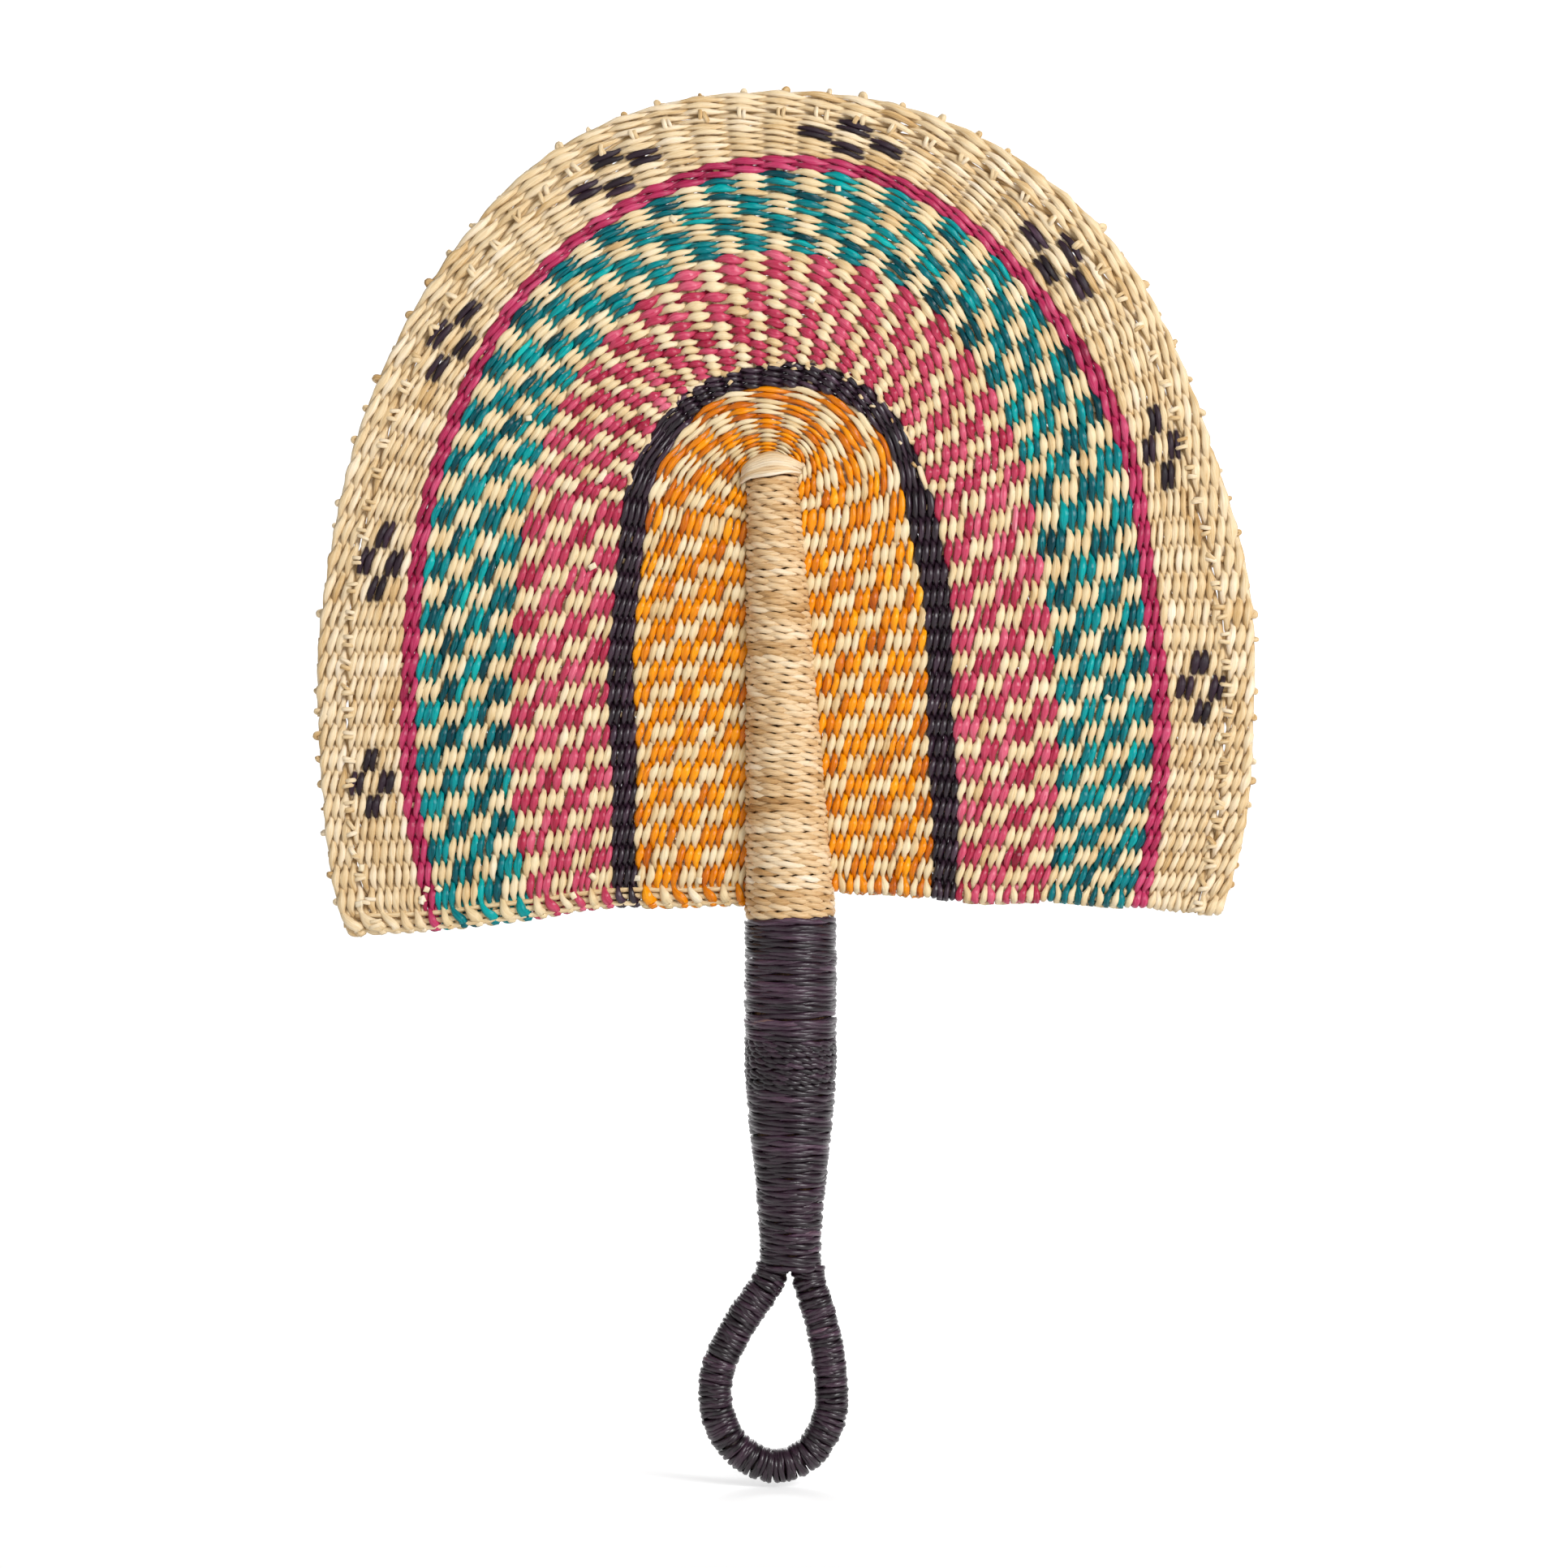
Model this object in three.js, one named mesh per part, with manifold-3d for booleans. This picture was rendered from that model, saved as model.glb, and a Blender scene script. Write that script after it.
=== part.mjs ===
import * as THREE from "three";
import { mergeVertices } from "three/addons/utils/BufferGeometryUtils.js";
import Module from "manifold-3d";

// A woven straw hand fan. It stands on the origin at the middle of its grip, blade up,
// with the front face towards -Y. All sizes are in millimetres.

const wasm = await Module();
wasm.setup();

// Handle
const gripLength = 101;
const gripDiameter = 27;
const gripEndDiameter = 18;
const gripTaperLength = 62;
const neckLength = 135;
const neckTopDiameter = 16;
const neckLean = 5.3;
const strandThickness = 1.7;
const clearance = 0.3;

// Hanging loop
const loopDrop = 57.8;
const loopWidth = 33;
const loopLean = 5;
const loopCoreDiameter = 5.6;
const loopLegSpacing = 7.2;
const loopSeatDepth = 12;
const loopNeck = 3;
const loopBareLength = 2.8;

// Straws of the blade
const strawDiameter = 1.8;
const firstStrawHeight = 6.6;
const strawPitch = 5.8;
const strawSeatDepth = 5;
const strawStub = 1.6;
const hoodHeight = 13;
const upperStrawCount = 11;

// Colour bands of the blade, measured outwards beside the neck
const orangeWidth = 31;
const blackWidth = 7.5;
const pinkWidth = 28;
const tealWidth = 26.5;
const magentaWidth = 6;
const rimWidth = 23;
const blankThickness = 1;
const courseGap = 0.5;
const foldReach = 2.6;
const bladeTopShare = 0.86;
const bladeShift = -1.7;

// How the blade is drawn in at the hem, and how full its shoulders are
const hemDrawShare = 0.088;
const widestHeightShare = 0.25;
const shoulderPower = 2.15;
const edgeCrowdingShare = 0.32;
const tipDrawShare = 0.5;

// How the lower left of the blade hangs: by how much at the hem, over how many straws,
// and between which shares of the way out from the neck
const hemSag = 5;
const sagStraws = 8;
const sagStartShare = 0.4;
const sagFullShare = 0.74;
const sagBends = 5;

// Windings
const gripTurns = 24;
const loopTurns = 24;
const turnGap = 0.55;
const crownShare = 0.62;
const turnSteps = 12;
const loopSteps = 8;
const loopSides = 6;
const loopBends = 30;

const colours = {
  natural: "#dfc092",
  naturalDark: "#c79f6c",
  orange: "#d68123",
  black: "#352a30",
  pink: "#bd4f60",
  teal: "#177276",
  magenta: "#b0405c",
};

// Sizes that follow from the driving sizes
const strawRadius = strawDiameter / 2;
const gripTop = gripLength / 2;
const neckTop = gripTop + neckLength;
const neckTopRadius = neckTopDiameter / 2;
const tipHeight = neckTop - neckTopRadius;
const hemHeight = gripTop + firstStrawHeight;
const crossStrawCount = 1 + Math.floor((tipHeight - hoodHeight - hemHeight) / strawPitch);
const slotCount = 2 * crossStrawCount + 3 * upperStrawCount;
const bandTotal = orangeWidth + blackWidth + pinkWidth + tealWidth + magentaWidth + rimWidth;
const bladeHalfWidth = gripDiameter / 2 + bandTotal;
const bladeBottom = hemHeight - 2 * strawPitch;
const bladeTop = tipHeight + neckTopRadius + bladeTopShare * bandTotal;

const mix = (a, b, t) => a + (b - a) * t;
const smooth = (t) => THREE.MathUtils.smoothstep(t, 0, 1);

// Solids

function meshOf(name, geometry, colour, roughness) {
  const material = new THREE.MeshStandardMaterial({ color: colour, roughness, metalness: 0 });
  const mesh = new THREE.Mesh(geometry, material);
  mesh.name = name;
  return mesh;
}

// The volume inside a closed indexed surface, negative where the faces look inwards.
function signedVolume(points, faces) {
  const cross = new THREE.Vector3();
  let sum = 0;
  for (let i = 0; i < faces.length; i += 3) {
    const [a, b, c] = [points[faces[i]], points[faces[i + 1]], points[faces[i + 2]]];
    sum += a.dot(cross.crossVectors(b, c));
  }
  return sum;
}

// A solid through a row of sections that all have the same number of points.
function loft(sections) {
  const points = sections.flat();
  const count = sections[0].length;
  const last = (sections.length - 1) * count;
  const faces = [];
  for (let s = 0; s < last; s += count) {
    for (let i = 0; i < count; i++) {
      const j = (i + 1) % count;
      faces.push(s + i, s + j, s + count + j, s + i, s + count + j, s + count + i);
    }
  }
  for (let i = 1; i < count - 1; i++) {
    faces.push(0, i + 1, i, last, last + i, last + i + 1);
  }
  if (signedVolume(points, faces) < 0) faces.reverse();
  const geometry = new THREE.BufferGeometry().setFromPoints(points);
  geometry.setIndex(faces);
  geometry.computeVertexNormals();
  return geometry;
}

function toManifold(geometry) {
  const bare = geometry.clone();
  bare.deleteAttribute("normal");
  bare.deleteAttribute("uv");
  const merged = mergeVertices(bare, clearance / 1000);
  return new wasm.Manifold(
    new wasm.Mesh({
      numProp: 3,
      vertProperties: merged.attributes.position.array,
      triVerts: new Uint32Array(merged.index.array),
    }),
  );
}

function fromManifold(solid) {
  const { vertProperties, triVerts } = solid.getMesh();
  const geometry = new THREE.BufferGeometry();
  geometry.setAttribute("position", new THREE.BufferAttribute(vertProperties, 3));
  geometry.setIndex(new THREE.BufferAttribute(triVerts, 1));
  geometry.computeVertexNormals();
  return geometry;
}

// A round bar along a row of points, mitred where it bends.
function rod(path, radius, sides = 6) {
  const across = new THREE.Vector3(0, 1, 0);
  const sections = path.map((point, i) => {
    const before = path[Math.max(i - 1, 0)];
    const after = path[Math.min(i + 1, path.length - 1)];
    const incoming = point.clone().sub(before).normalize();
    const outgoing = after.clone().sub(point).normalize();
    const tangent = incoming.clone().add(outgoing).normalize();
    const cosine = incoming.lengthSq() && outgoing.lengthSq() ? tangent.dot(outgoing) : 1;
    const side = tangent.clone().cross(across).normalize();
    const up = side.clone().cross(tangent);
    return Array.from({ length: sides }, (_, k) => {
      const angle = (2 * Math.PI * (k + 0.5)) / sides;
      const reach = (radius * Math.cos(angle)) / cosine;
      return point
        .clone()
        .addScaledVector(side, reach)
        .addScaledVector(up, radius * Math.sin(angle));
    });
  });
  return loft(sections);
}

// Handle outline

// Outer radius of the wound handle at a height.
function handleRadius(z) {
  if (z > gripTop) {
    const t = (z - gripTop) / (tipHeight - gripTop);
    return mix(gripDiameter, neckTopDiameter, Math.min(t, 1)) / 2;
  }
  const t = (z + gripTop) / gripTaperLength;
  return mix(gripEndDiameter, gripDiameter, smooth(t)) / 2;
}

// How far the handle's middle stands off the Z axis at a height.
function handleShift(z) {
  return (-neckLean * Math.max(z - gripTop, 0)) / (tipHeight - gripTop);
}

const strawHeight = (index) => hemHeight + index * strawPitch;

// Where a straw slot, counted from the lower left round to the lower right, leaves the neck.
const neckArch = makeNeckArch();

function makeNeckArch() {
  const leftZ = strawHeight(crossStrawCount - 0.5);
  const rightZ = strawHeight(crossStrawCount);
  const arch = new THREE.Path();
  arch.moveTo(handleShift(leftZ) - handleRadius(leftZ), leftZ);
  arch.lineTo(-neckLean - neckTopRadius, tipHeight);
  arch.absarc(-neckLean, tipHeight, neckTopRadius, Math.PI, 0, true);
  arch.lineTo(handleShift(rightZ) + handleRadius(rightZ), rightZ);
  return arch;
}

function neckPoint(slot) {
  const fromRight = slotCount - 1 - slot;
  const edge = crossStrawCount - 0.5;
  if (slot <= edge) {
    const z = strawHeight(slot);
    return new THREE.Vector2(handleShift(z) - handleRadius(z), z);
  }
  if (fromRight <= edge) {
    const z = strawHeight(fromRight + 0.5);
    return new THREE.Vector2(handleShift(z) + handleRadius(z), z);
  }
  return neckArch.getPoint((slot - edge) / (slotCount - 1 - 2 * edge));
}

// Blade outline: full rounded shoulders above the widest place, drawn in a little below it.
const bladeEdge = makeBladeEdge();

function makeBladeEdge() {
  const widest = mix(bladeBottom, bladeTop, widestHeightShare);
  const steps = 24;
  const half = [];
  for (let i = 0; i < steps / 4; i++) {
    const fall = 1 - i / (steps / 4);
    half.push([1 - hemDrawShare * fall * fall, mix(widest, bladeBottom, fall)]);
  }
  for (let i = 0; i < steps; i++) {
    const angle = ((i / steps) * Math.PI) / 2;
    const rise = Math.sin(angle) ** (2 / shoulderPower);
    half.push([Math.cos(angle) ** (2 / shoulderPower), mix(widest, bladeTop, rise)]);
  }
  const left = half.map(([x, z]) => new THREE.Vector2(bladeShift - x * bladeHalfWidth, z));
  const right = half.map(([x, z]) => new THREE.Vector2(bladeShift + x * bladeHalfWidth, z));
  const top = new THREE.Vector2(bladeShift, bladeTop);
  return new THREE.SplineCurve([...left, top, ...right.reverse()]);
}

function edgePoint(slot) {
  const start = strawPitch;
  const turn = (slot + 0.5) / slotCount;
  const spread = turn - (edgeCrowdingShare * Math.sin(2 * Math.PI * turn)) / (2 * Math.PI);
  const length = bladeEdge.getLength();
  return bladeEdge.getPointAt((start + spread * (length - 2 * start)) / length);
}

// How much a slot belongs to the top of the blade, from 0 at the sides to 1 at the middle.
function topness(slot) {
  const reach = (0.5 * 3 * upperStrawCount) / slotCount;
  const off = Math.abs((slot + 0.5) / slotCount - 0.5) / reach;
  return off < 1 ? Math.cos((off * Math.PI) / 2) ** 2 : 0;
}

// How far a point of the blade hangs below the straight line from neck to edge.
function sagAt(slot, out) {
  const fall = hemSag * Math.max(1 - Math.max(slot, 0) / sagStraws, 0) ** 2;
  return fall * smooth((out - sagStartShare) / (sagFullShare - sagStartShare));
}

// A point of the blade's middle plane: out is 0 at the neck and 1 at the edge.
function bladePoint(slot, out, y = 0) {
  const inner = (orangeWidth + blackWidth + pinkWidth) / bandTotal;
  const draw = out < inner ? tipDrawShare * topness(slot) * out * (1 - out / inner) : 0;
  const p = neckPoint(slot).lerp(edgePoint(slot), out - draw);
  return new THREE.Vector3(p.x, y, p.y - sagAt(slot, out));
}

const bladeLength = (slot) => neckPoint(slot).distanceTo(edgePoint(slot));

// Slots of the straws that a band crosses.
const crossSlots = Array.from({ length: crossStrawCount }, (_, i) => i);
const upperSlots = Array.from({ length: upperStrawCount }, (_, i) => crossStrawCount + 1 + 3 * i);
const farSlots = crossSlots.map((i) => slotCount - 1 - i).reverse();
const innerSlots = [...crossSlots, ...upperSlots, ...farSlots];
const outerSlots = Array.from({ length: slotCount }, (_, i) => i);

// Straws

function strawInto(slot, depth) {
  const out = bladePoint(slot, 0);
  const inward = out.clone().sub(bladePoint(slot, 1)).normalize();
  return out.addScaledVector(inward, depth);
}

function strawEnd(slot) {
  return bladePoint(slot, 1 + strawStub / bladeLength(slot));
}

// One straw that runs from edge to edge, through the neck, and bends where the blade hangs.
function crossPath(index) {
  const far = slotCount - 1 - index;
  const bends = [];
  for (let i = sagBends; i >= 0 && index < sagStraws; i--) {
    bends.push(bladePoint(index, mix(sagStartShare, sagFullShare, i / sagBends)));
  }
  return [strawEnd(index), ...bends, bladePoint(index, 0), bladePoint(far, 0), strawEnd(far)];
}

function upperPath(index) {
  return [strawInto(upperSlots[index], strawSeatDepth), strawEnd(upperSlots[index])];
}

// One straw folded in two round an upper straw, where the black band ends.
const foldOut = (orangeWidth + blackWidth) / bandTotal;
const foldRoom = strawDiameter + 2 * clearance;

// The room left for those folds between the black and the pink band, over the top only.
function foldRoomAt(slot) {
  const inside = slot - upperSlots[0] + 3;
  const fromRight = upperSlots[upperStrawCount - 1] + 3 - slot;
  return foldRoom * THREE.MathUtils.clamp(Math.min(inside, fromRight), 0, 1);
}

function addedPath(index) {
  const slot = upperSlots[index];
  const place = (s) => foldOut + foldRoom / 2 / bladeLength(s);
  const forward = -(strawDiameter + clearance);
  return [
    strawEnd(slot - 1),
    bladePoint(slot - 1, place(slot - 1)),
    bladePoint(slot, place(slot), forward),
    bladePoint(slot + 1, place(slot + 1)),
    strawEnd(slot + 1),
  ];
}

function straws() {
  const group = new THREE.Group();
  const add = (name, path, i) => {
    const label = name + "_" + String(i + 1).padStart(2, "0");
    group.add(meshOf(label, rod(path, strawRadius), colours.natural, 0.6));
  };
  for (let i = 0; i < crossStrawCount; i++) add("cross_straw", crossPath(i), i);
  for (let i = 0; i < upperStrawCount; i++) add("upper_straw", upperPath(i), i);
  for (let i = 0; i < upperStrawCount; i++) add("added_straw", addedPath(i), i);
  return group;
}

// Bands

// How far a band stands off the middle plane over a straw, so that its slope clears the straw
// on its way to the other side of the next one.
function waveHeight(spacing) {
  const clear = strawRadius + clearance;
  const ratio = (2 * clear) / spacing;
  const a = 1 - ratio * ratio;
  const c = (blankThickness * blankThickness) / 4 - clear * clear;
  return (blankThickness + Math.sqrt(blankThickness * blankThickness - 4 * a * c)) / (2 * a);
}

function spacingAt(slots, i, out) {
  const here = bladePoint(slots[i], out);
  const gaps = [slots[i - 1], slots[i + 1]]
    .filter((slot) => slot !== undefined)
    .map((slot) => here.distanceTo(bladePoint(slot, out)));
  return Math.min(...gaps);
}

// The four corners of a band where it crosses a slot, at a height off the middle plane.
function bandSection(slot, [leftOut, rightOut], [leftY, rightY]) {
  const half = blankThickness / 2;
  return [
    bladePoint(slot, leftOut, leftY - half),
    bladePoint(slot, leftOut, leftY + half),
    bladePoint(slot, rightOut, rightY + half),
    bladePoint(slot, rightOut, rightY - half),
  ];
}

// One unbroken flat strand, woven back and forth: each course passes in front of the straws
// that the course before it passes behind, and folds round the last straw at the hem.
function band({ start, width, courses, slots, phase, room }) {
  const pitch = width / courses;
  const sections = [];
  const hem = (left) => (left ? slots[0] - 0.5 : slots[slots.length - 1] + 0.5);
  for (let c = 0; c < courses; c++) {
    const leftward = c % 2 === 0;
    const far = (start + (c + 1) * pitch - courseGap / 2) / bandTotal;
    const edgesAt = (slot) => {
      const opened = c === 0 ? room(slot) / bladeLength(slot) : 0;
      const near = (start + c * pitch + courseGap / 2) / bandTotal + opened;
      return leftward ? [near, far] : [far, near];
    };
    const order = slots.map((_, i) => (leftward ? slots.length - 1 - i : i));
    sections.push(bandSection(hem(!leftward), edgesAt(hem(!leftward)), [0, 0]));
    for (const i of order) {
      const side = (i + c + phase) % 2 ? 1 : -1;
      const edges = edgesAt(slots[i]);
      const heights = edges.map((out) => side * waveHeight(spacingAt(slots, i, out)));
      sections.push(bandSection(slots[i], edges, heights));
    }
    sections.push(bandSection(hem(leftward), edgesAt(hem(leftward)), [0, 0]));
    if (c < courses - 1) sections.push(foldSection(hem(leftward), leftward, far));
  }
  return loft(sections);
}

// The middle of the fold that joins one course to the next at the hem.
function foldSection(slot, leftward, out) {
  const half = blankThickness / 2;
  const middle = out + courseGap / 2 / bandTotal;
  const tip = foldReach / strawPitch;
  const outward = leftward ? -1 : 1;
  const far = slot + outward * tip;
  const near = slot + (outward * tip) / 3;
  return [
    bladePoint(far, middle, -half),
    bladePoint(far, middle, half),
    bladePoint(near, middle, half),
    bladePoint(near, middle, -half),
  ];
}

const bandParts = [
  { name: "orange_band", width: orangeWidth, courses: 4, slots: innerSlots, colour: colours.orange },
  { name: "black_band", width: blackWidth, courses: 1, slots: innerSlots, colour: colours.black },
  { name: "pink_band", width: pinkWidth, courses: 4, slots: outerSlots, colour: colours.pink },
  { name: "teal_band", width: tealWidth, courses: 4, slots: outerSlots, colour: colours.teal },
  { name: "magenta_band", width: magentaWidth, courses: 1, slots: outerSlots, colour: colours.magenta },
  { name: "rim_band", width: rimWidth, courses: 3, slots: outerSlots, colour: colours.natural },
];

function bands() {
  const group = new THREE.Group();
  let start = 0;
  let phase = 0;
  for (const { name, width, courses, slots, colour } of bandParts) {
    const room = name === "pink_band" ? foldRoomAt : () => 0;
    const geometry = band({ start, width, courses, slots, phase, room });
    group.add(meshOf(name, geometry, colour, 0.55));
    start += width;
    phase += courses;
  }
  return group;
}

// Handle core

const coreRadius = (z) =>
  (handleRadius(z) - strandThickness) * Math.cos(Math.PI / turnSteps) - clearance;

// The bundle inside the handle: turned round, with a domed top, then leant to follow the neck.
function coreBlank() {
  const bottom = -gripTop;
  const tipRadius = coreRadius(tipHeight);
  const profile = [new THREE.Vector2(0, bottom)];
  const taperSteps = 6;
  for (let i = 0; i <= taperSteps; i++) {
    const z = bottom + (gripTaperLength * i) / taperSteps;
    profile.push(new THREE.Vector2(coreRadius(z), z));
  }
  profile.push(new THREE.Vector2(coreRadius(gripTop), gripTop));
  const domeSteps = 4;
  for (let i = 0; i < domeSteps; i++) {
    const angle = (i / domeSteps) * (Math.PI / 2);
    const rise = tipRadius * Math.sin(angle);
    profile.push(new THREE.Vector2(tipRadius * Math.cos(angle), tipHeight + rise));
  }
  profile.push(new THREE.Vector2(0, tipHeight + tipRadius));
  const lathe = new THREE.LatheGeometry(profile, turnSteps);
  lathe.rotateX(Math.PI / 2);
  const position = lathe.attributes.position;
  for (let i = 0; i < position.count; i++) {
    position.setX(i, position.getX(i) + handleShift(position.getZ(i)));
  }
  return lathe;
}

// The core with a bore for every straw that crosses it or ends in it, and for both loop legs.
function handleCore() {
  const boreRadius = strawRadius + clearance;
  const upper = upperSlots.map((slot) => [strawInto(slot, strawSeatDepth + clearance), strawEnd(slot)]);
  const cuts = [...crossSlots.map(crossPath), ...upper].map((path) => rod(path, boreRadius));
  for (const side of [-1, 1]) {
    const leg = [loopLeg(side, loopSeatDepth + clearance), loopLeg(side, -loopNeck)];
    cuts.push(rod(leg, loopCoreDiameter / 2 + clearance, loopSides));
  }
  const solid = cuts.reduce((body, cut) => body.subtract(toManifold(cut)), toManifold(coreBlank()));
  return meshOf("handle_core", fromManifold(solid), colours.naturalDark, 0.7);
}

// Hanging loop

// Shares of the loop's half width and drop, down each leg to near its bottom. The left one is fuller.
const leftLegShares = [
  [0.85, 0.3],
  [1.12, 0.52],
  [1.04, 0.73],
  [0.66, 0.91],
];
const rightLegShares = [
  [0.6, 0.28],
  [0.86, 0.53],
  [0.94, 0.75],
  [0.6, 0.94],
];

// A point of a loop leg beside the handle's axis, at a height above the grip's lower end.
function loopLeg(side, rise) {
  return new THREE.Vector3((side * loopLegSpacing) / 2, 0, -gripTop + rise);
}

function makeLoopCurve() {
  const place = (side) => ([x, drop]) => {
    const lean = loopLean * smooth(drop);
    return new THREE.Vector3((side * x * loopWidth) / 2 - lean, 0, -gripTop - drop * loopDrop);
  };
  const down = [loopLeg(-1, -loopNeck), ...leftLegShares.map(place(-1))];
  const up = [loopLeg(1, -loopNeck), ...rightLegShares.map(place(1))].reverse();
  return new THREE.CatmullRomCurve3([...down, place(0)([0, 1]), ...up], false, "centripetal");
}

const loopCurve = makeLoopCurve();

function loopCore() {
  const bends = loopCurve.getSpacedPoints(loopBends);
  const path = [loopLeg(-1, loopSeatDepth), ...bends, loopLeg(1, loopSeatDepth)];
  return meshOf("loop_core", rod(path, loopCoreDiameter / 2, loopSides), colours.naturalDark, 0.7);
}

// Windings

// One unbroken flat strand wound round a core. frameAt gives the core's middle, its direction
// and the strand's inner radius after some turns, and heightAt the strand's height there.
function winding({ turns, steps, startAngle, frameAt, heightAt }) {
  const sections = [];
  for (let i = 0; i <= turns * steps; i++) {
    const turn = i / steps;
    const angle = startAngle + 2 * Math.PI * turn;
    const { middle, along, across, radius } = frameAt(turn);
    const out = across.clone().multiplyScalar(Math.cos(angle));
    out.addScaledVector(new THREE.Vector3(0, 1, 0), Math.sin(angle));
    const half = heightAt(turn, angle, out) / 2;
    const corner = (reach, rise) =>
      middle.clone().addScaledVector(out, reach).addScaledVector(along, rise);
    sections.push([
      corner(radius, -half),
      corner(radius, half),
      corner(radius + strandThickness, half * crownShare),
      corner(radius + strandThickness, -half * crownShare),
    ]);
  }
  return sections;
}

// The least distance between the points of a winding and those one turn further on.
function leastGap(sections, steps) {
  let least = Infinity;
  for (let i = 0; i + steps < sections.length; i++) {
    const next = sections.slice(i + steps - 1, i + steps + 2).flat();
    for (const p of sections[i]) {
      for (const q of next) least = Math.min(least, p.distanceTo(q));
    }
  }
  return least;
}

// The least distance between the first and the last turns of a winding, where they lie side by side.
function endGap(sections, steps) {
  const first = sections.slice(0, 2 * steps).flat();
  const last = sections.slice(-2 * steps).flat();
  return Math.min(...first.map((p) => Math.min(...last.map((q) => p.distanceTo(q)))));
}

function windingMesh(name, options, colour) {
  const sections = winding(options);
  const gap = leastGap(sections, options.steps).toFixed(2);
  const ends = endGap(sections, options.steps).toFixed(2);
  console.log(name + ": least gap between turns " + gap + " mm, between its ends " + ends + " mm");
  return meshOf(name, loft(sections), colour, 0.5);
}

function handleFrame(z) {
  return {
    middle: new THREE.Vector3(handleShift(z), 0, z),
    along: new THREE.Vector3(0, 0, 1),
    across: new THREE.Vector3(1, 0, 0),
    radius: handleRadius(z) - strandThickness,
  };
}

function gripWrap() {
  const height = (gripLength - turnGap) / (gripTurns + 1);
  const frameAt = (turn) => handleFrame(-gripTop + height / 2 + turn * height);
  const options = { turns: gripTurns, steps: turnSteps, startAngle: 0, frameAt };
  return windingMesh("grip_wrap", { ...options, heightAt: () => height - turnGap }, colours.black);
}

// The neck's strand passes between the straws on both sides, so it is drawn in there.
function neckWrap() {
  const free = strawPitch - strawDiameter - 2 * clearance;
  const frameAt = (turn) => handleFrame(strawHeight(turn - 0.5));
  const next = Math.cos((2 * Math.PI) / turnSteps);
  const heightAt = (turn, angle) => {
    const beside = (Math.abs(Math.cos(angle)) - next) / (1 - next);
    return mix(strawPitch - turnGap, free, THREE.MathUtils.clamp(beside, 0, 1));
  };
  const turns = crossStrawCount - 0.5;
  const options = { turns, steps: turnSteps, startAngle: Math.PI, frameAt, heightAt };
  return windingMesh("neck_wrap", options, colours.natural);
}

function loopWrap() {
  const length = loopCurve.getLength();
  const height = (length - 2 * loopBareLength - turnGap) / (loopTurns + 1);
  const radius = (loopCoreDiameter / 2 + clearance) / Math.cos(Math.PI / loopSteps);
  const share = (turn) => (loopBareLength + height * (turn + 0.5)) / length;
  const frameAt = (turn) => {
    const along = loopCurve.getTangentAt(share(turn));
    const across = along.clone().cross(new THREE.Vector3(0, 1, 0)).normalize();
    return { middle: loopCurve.getPointAt(share(turn)), along, across, radius };
  };
  const heightAt = (turn, angle, out) => {
    const before = frameAt(Math.max(turn - 0.5, 0));
    const after = frameAt(Math.min(turn + 0.5, loopTurns));
    const bend = after.along.clone().sub(before.along).divideScalar(height);
    return height * (1 - (radius + strandThickness) * Math.max(bend.dot(out), 0)) - turnGap;
  };
  const options = { turns: loopTurns, steps: loopSteps, startAngle: 0, frameAt, heightAt };
  return windingMesh("loop_wrap", options, colours.black);
}

const fan = new THREE.Group();
fan.add(handleCore(), neckWrap(), gripWrap(), loopCore(), loopWrap(), straws(), bands());

export default fan;
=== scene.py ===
# A woven straw hand fan: a blade twined in nested arches, a cord-wound neck, a black grip and a hanging loop
import math

import bmesh
import bpy
import numpy as np
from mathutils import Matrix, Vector


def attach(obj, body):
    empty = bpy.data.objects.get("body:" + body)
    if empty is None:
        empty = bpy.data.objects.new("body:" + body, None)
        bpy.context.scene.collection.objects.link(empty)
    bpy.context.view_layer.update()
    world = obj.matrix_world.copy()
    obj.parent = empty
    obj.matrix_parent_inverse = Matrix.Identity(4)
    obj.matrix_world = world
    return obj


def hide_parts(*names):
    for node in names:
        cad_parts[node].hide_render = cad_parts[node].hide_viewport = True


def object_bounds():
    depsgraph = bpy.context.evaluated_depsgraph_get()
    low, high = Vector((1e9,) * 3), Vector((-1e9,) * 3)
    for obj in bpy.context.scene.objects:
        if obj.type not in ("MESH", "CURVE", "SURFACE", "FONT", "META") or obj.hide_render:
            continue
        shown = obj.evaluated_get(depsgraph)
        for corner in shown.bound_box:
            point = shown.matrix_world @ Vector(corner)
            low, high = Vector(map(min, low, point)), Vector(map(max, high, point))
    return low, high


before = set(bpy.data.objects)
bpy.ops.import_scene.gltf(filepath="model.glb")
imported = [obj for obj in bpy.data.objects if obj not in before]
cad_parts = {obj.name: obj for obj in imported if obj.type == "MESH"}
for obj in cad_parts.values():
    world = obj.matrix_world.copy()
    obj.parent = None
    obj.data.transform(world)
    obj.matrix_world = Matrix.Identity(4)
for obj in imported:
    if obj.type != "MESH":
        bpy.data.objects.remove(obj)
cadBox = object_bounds()
scene = bpy.context.scene
chance = np.random.default_rng(5)
mm = 0.001
print("frame loaded,", len(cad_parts), "nodes")

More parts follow.
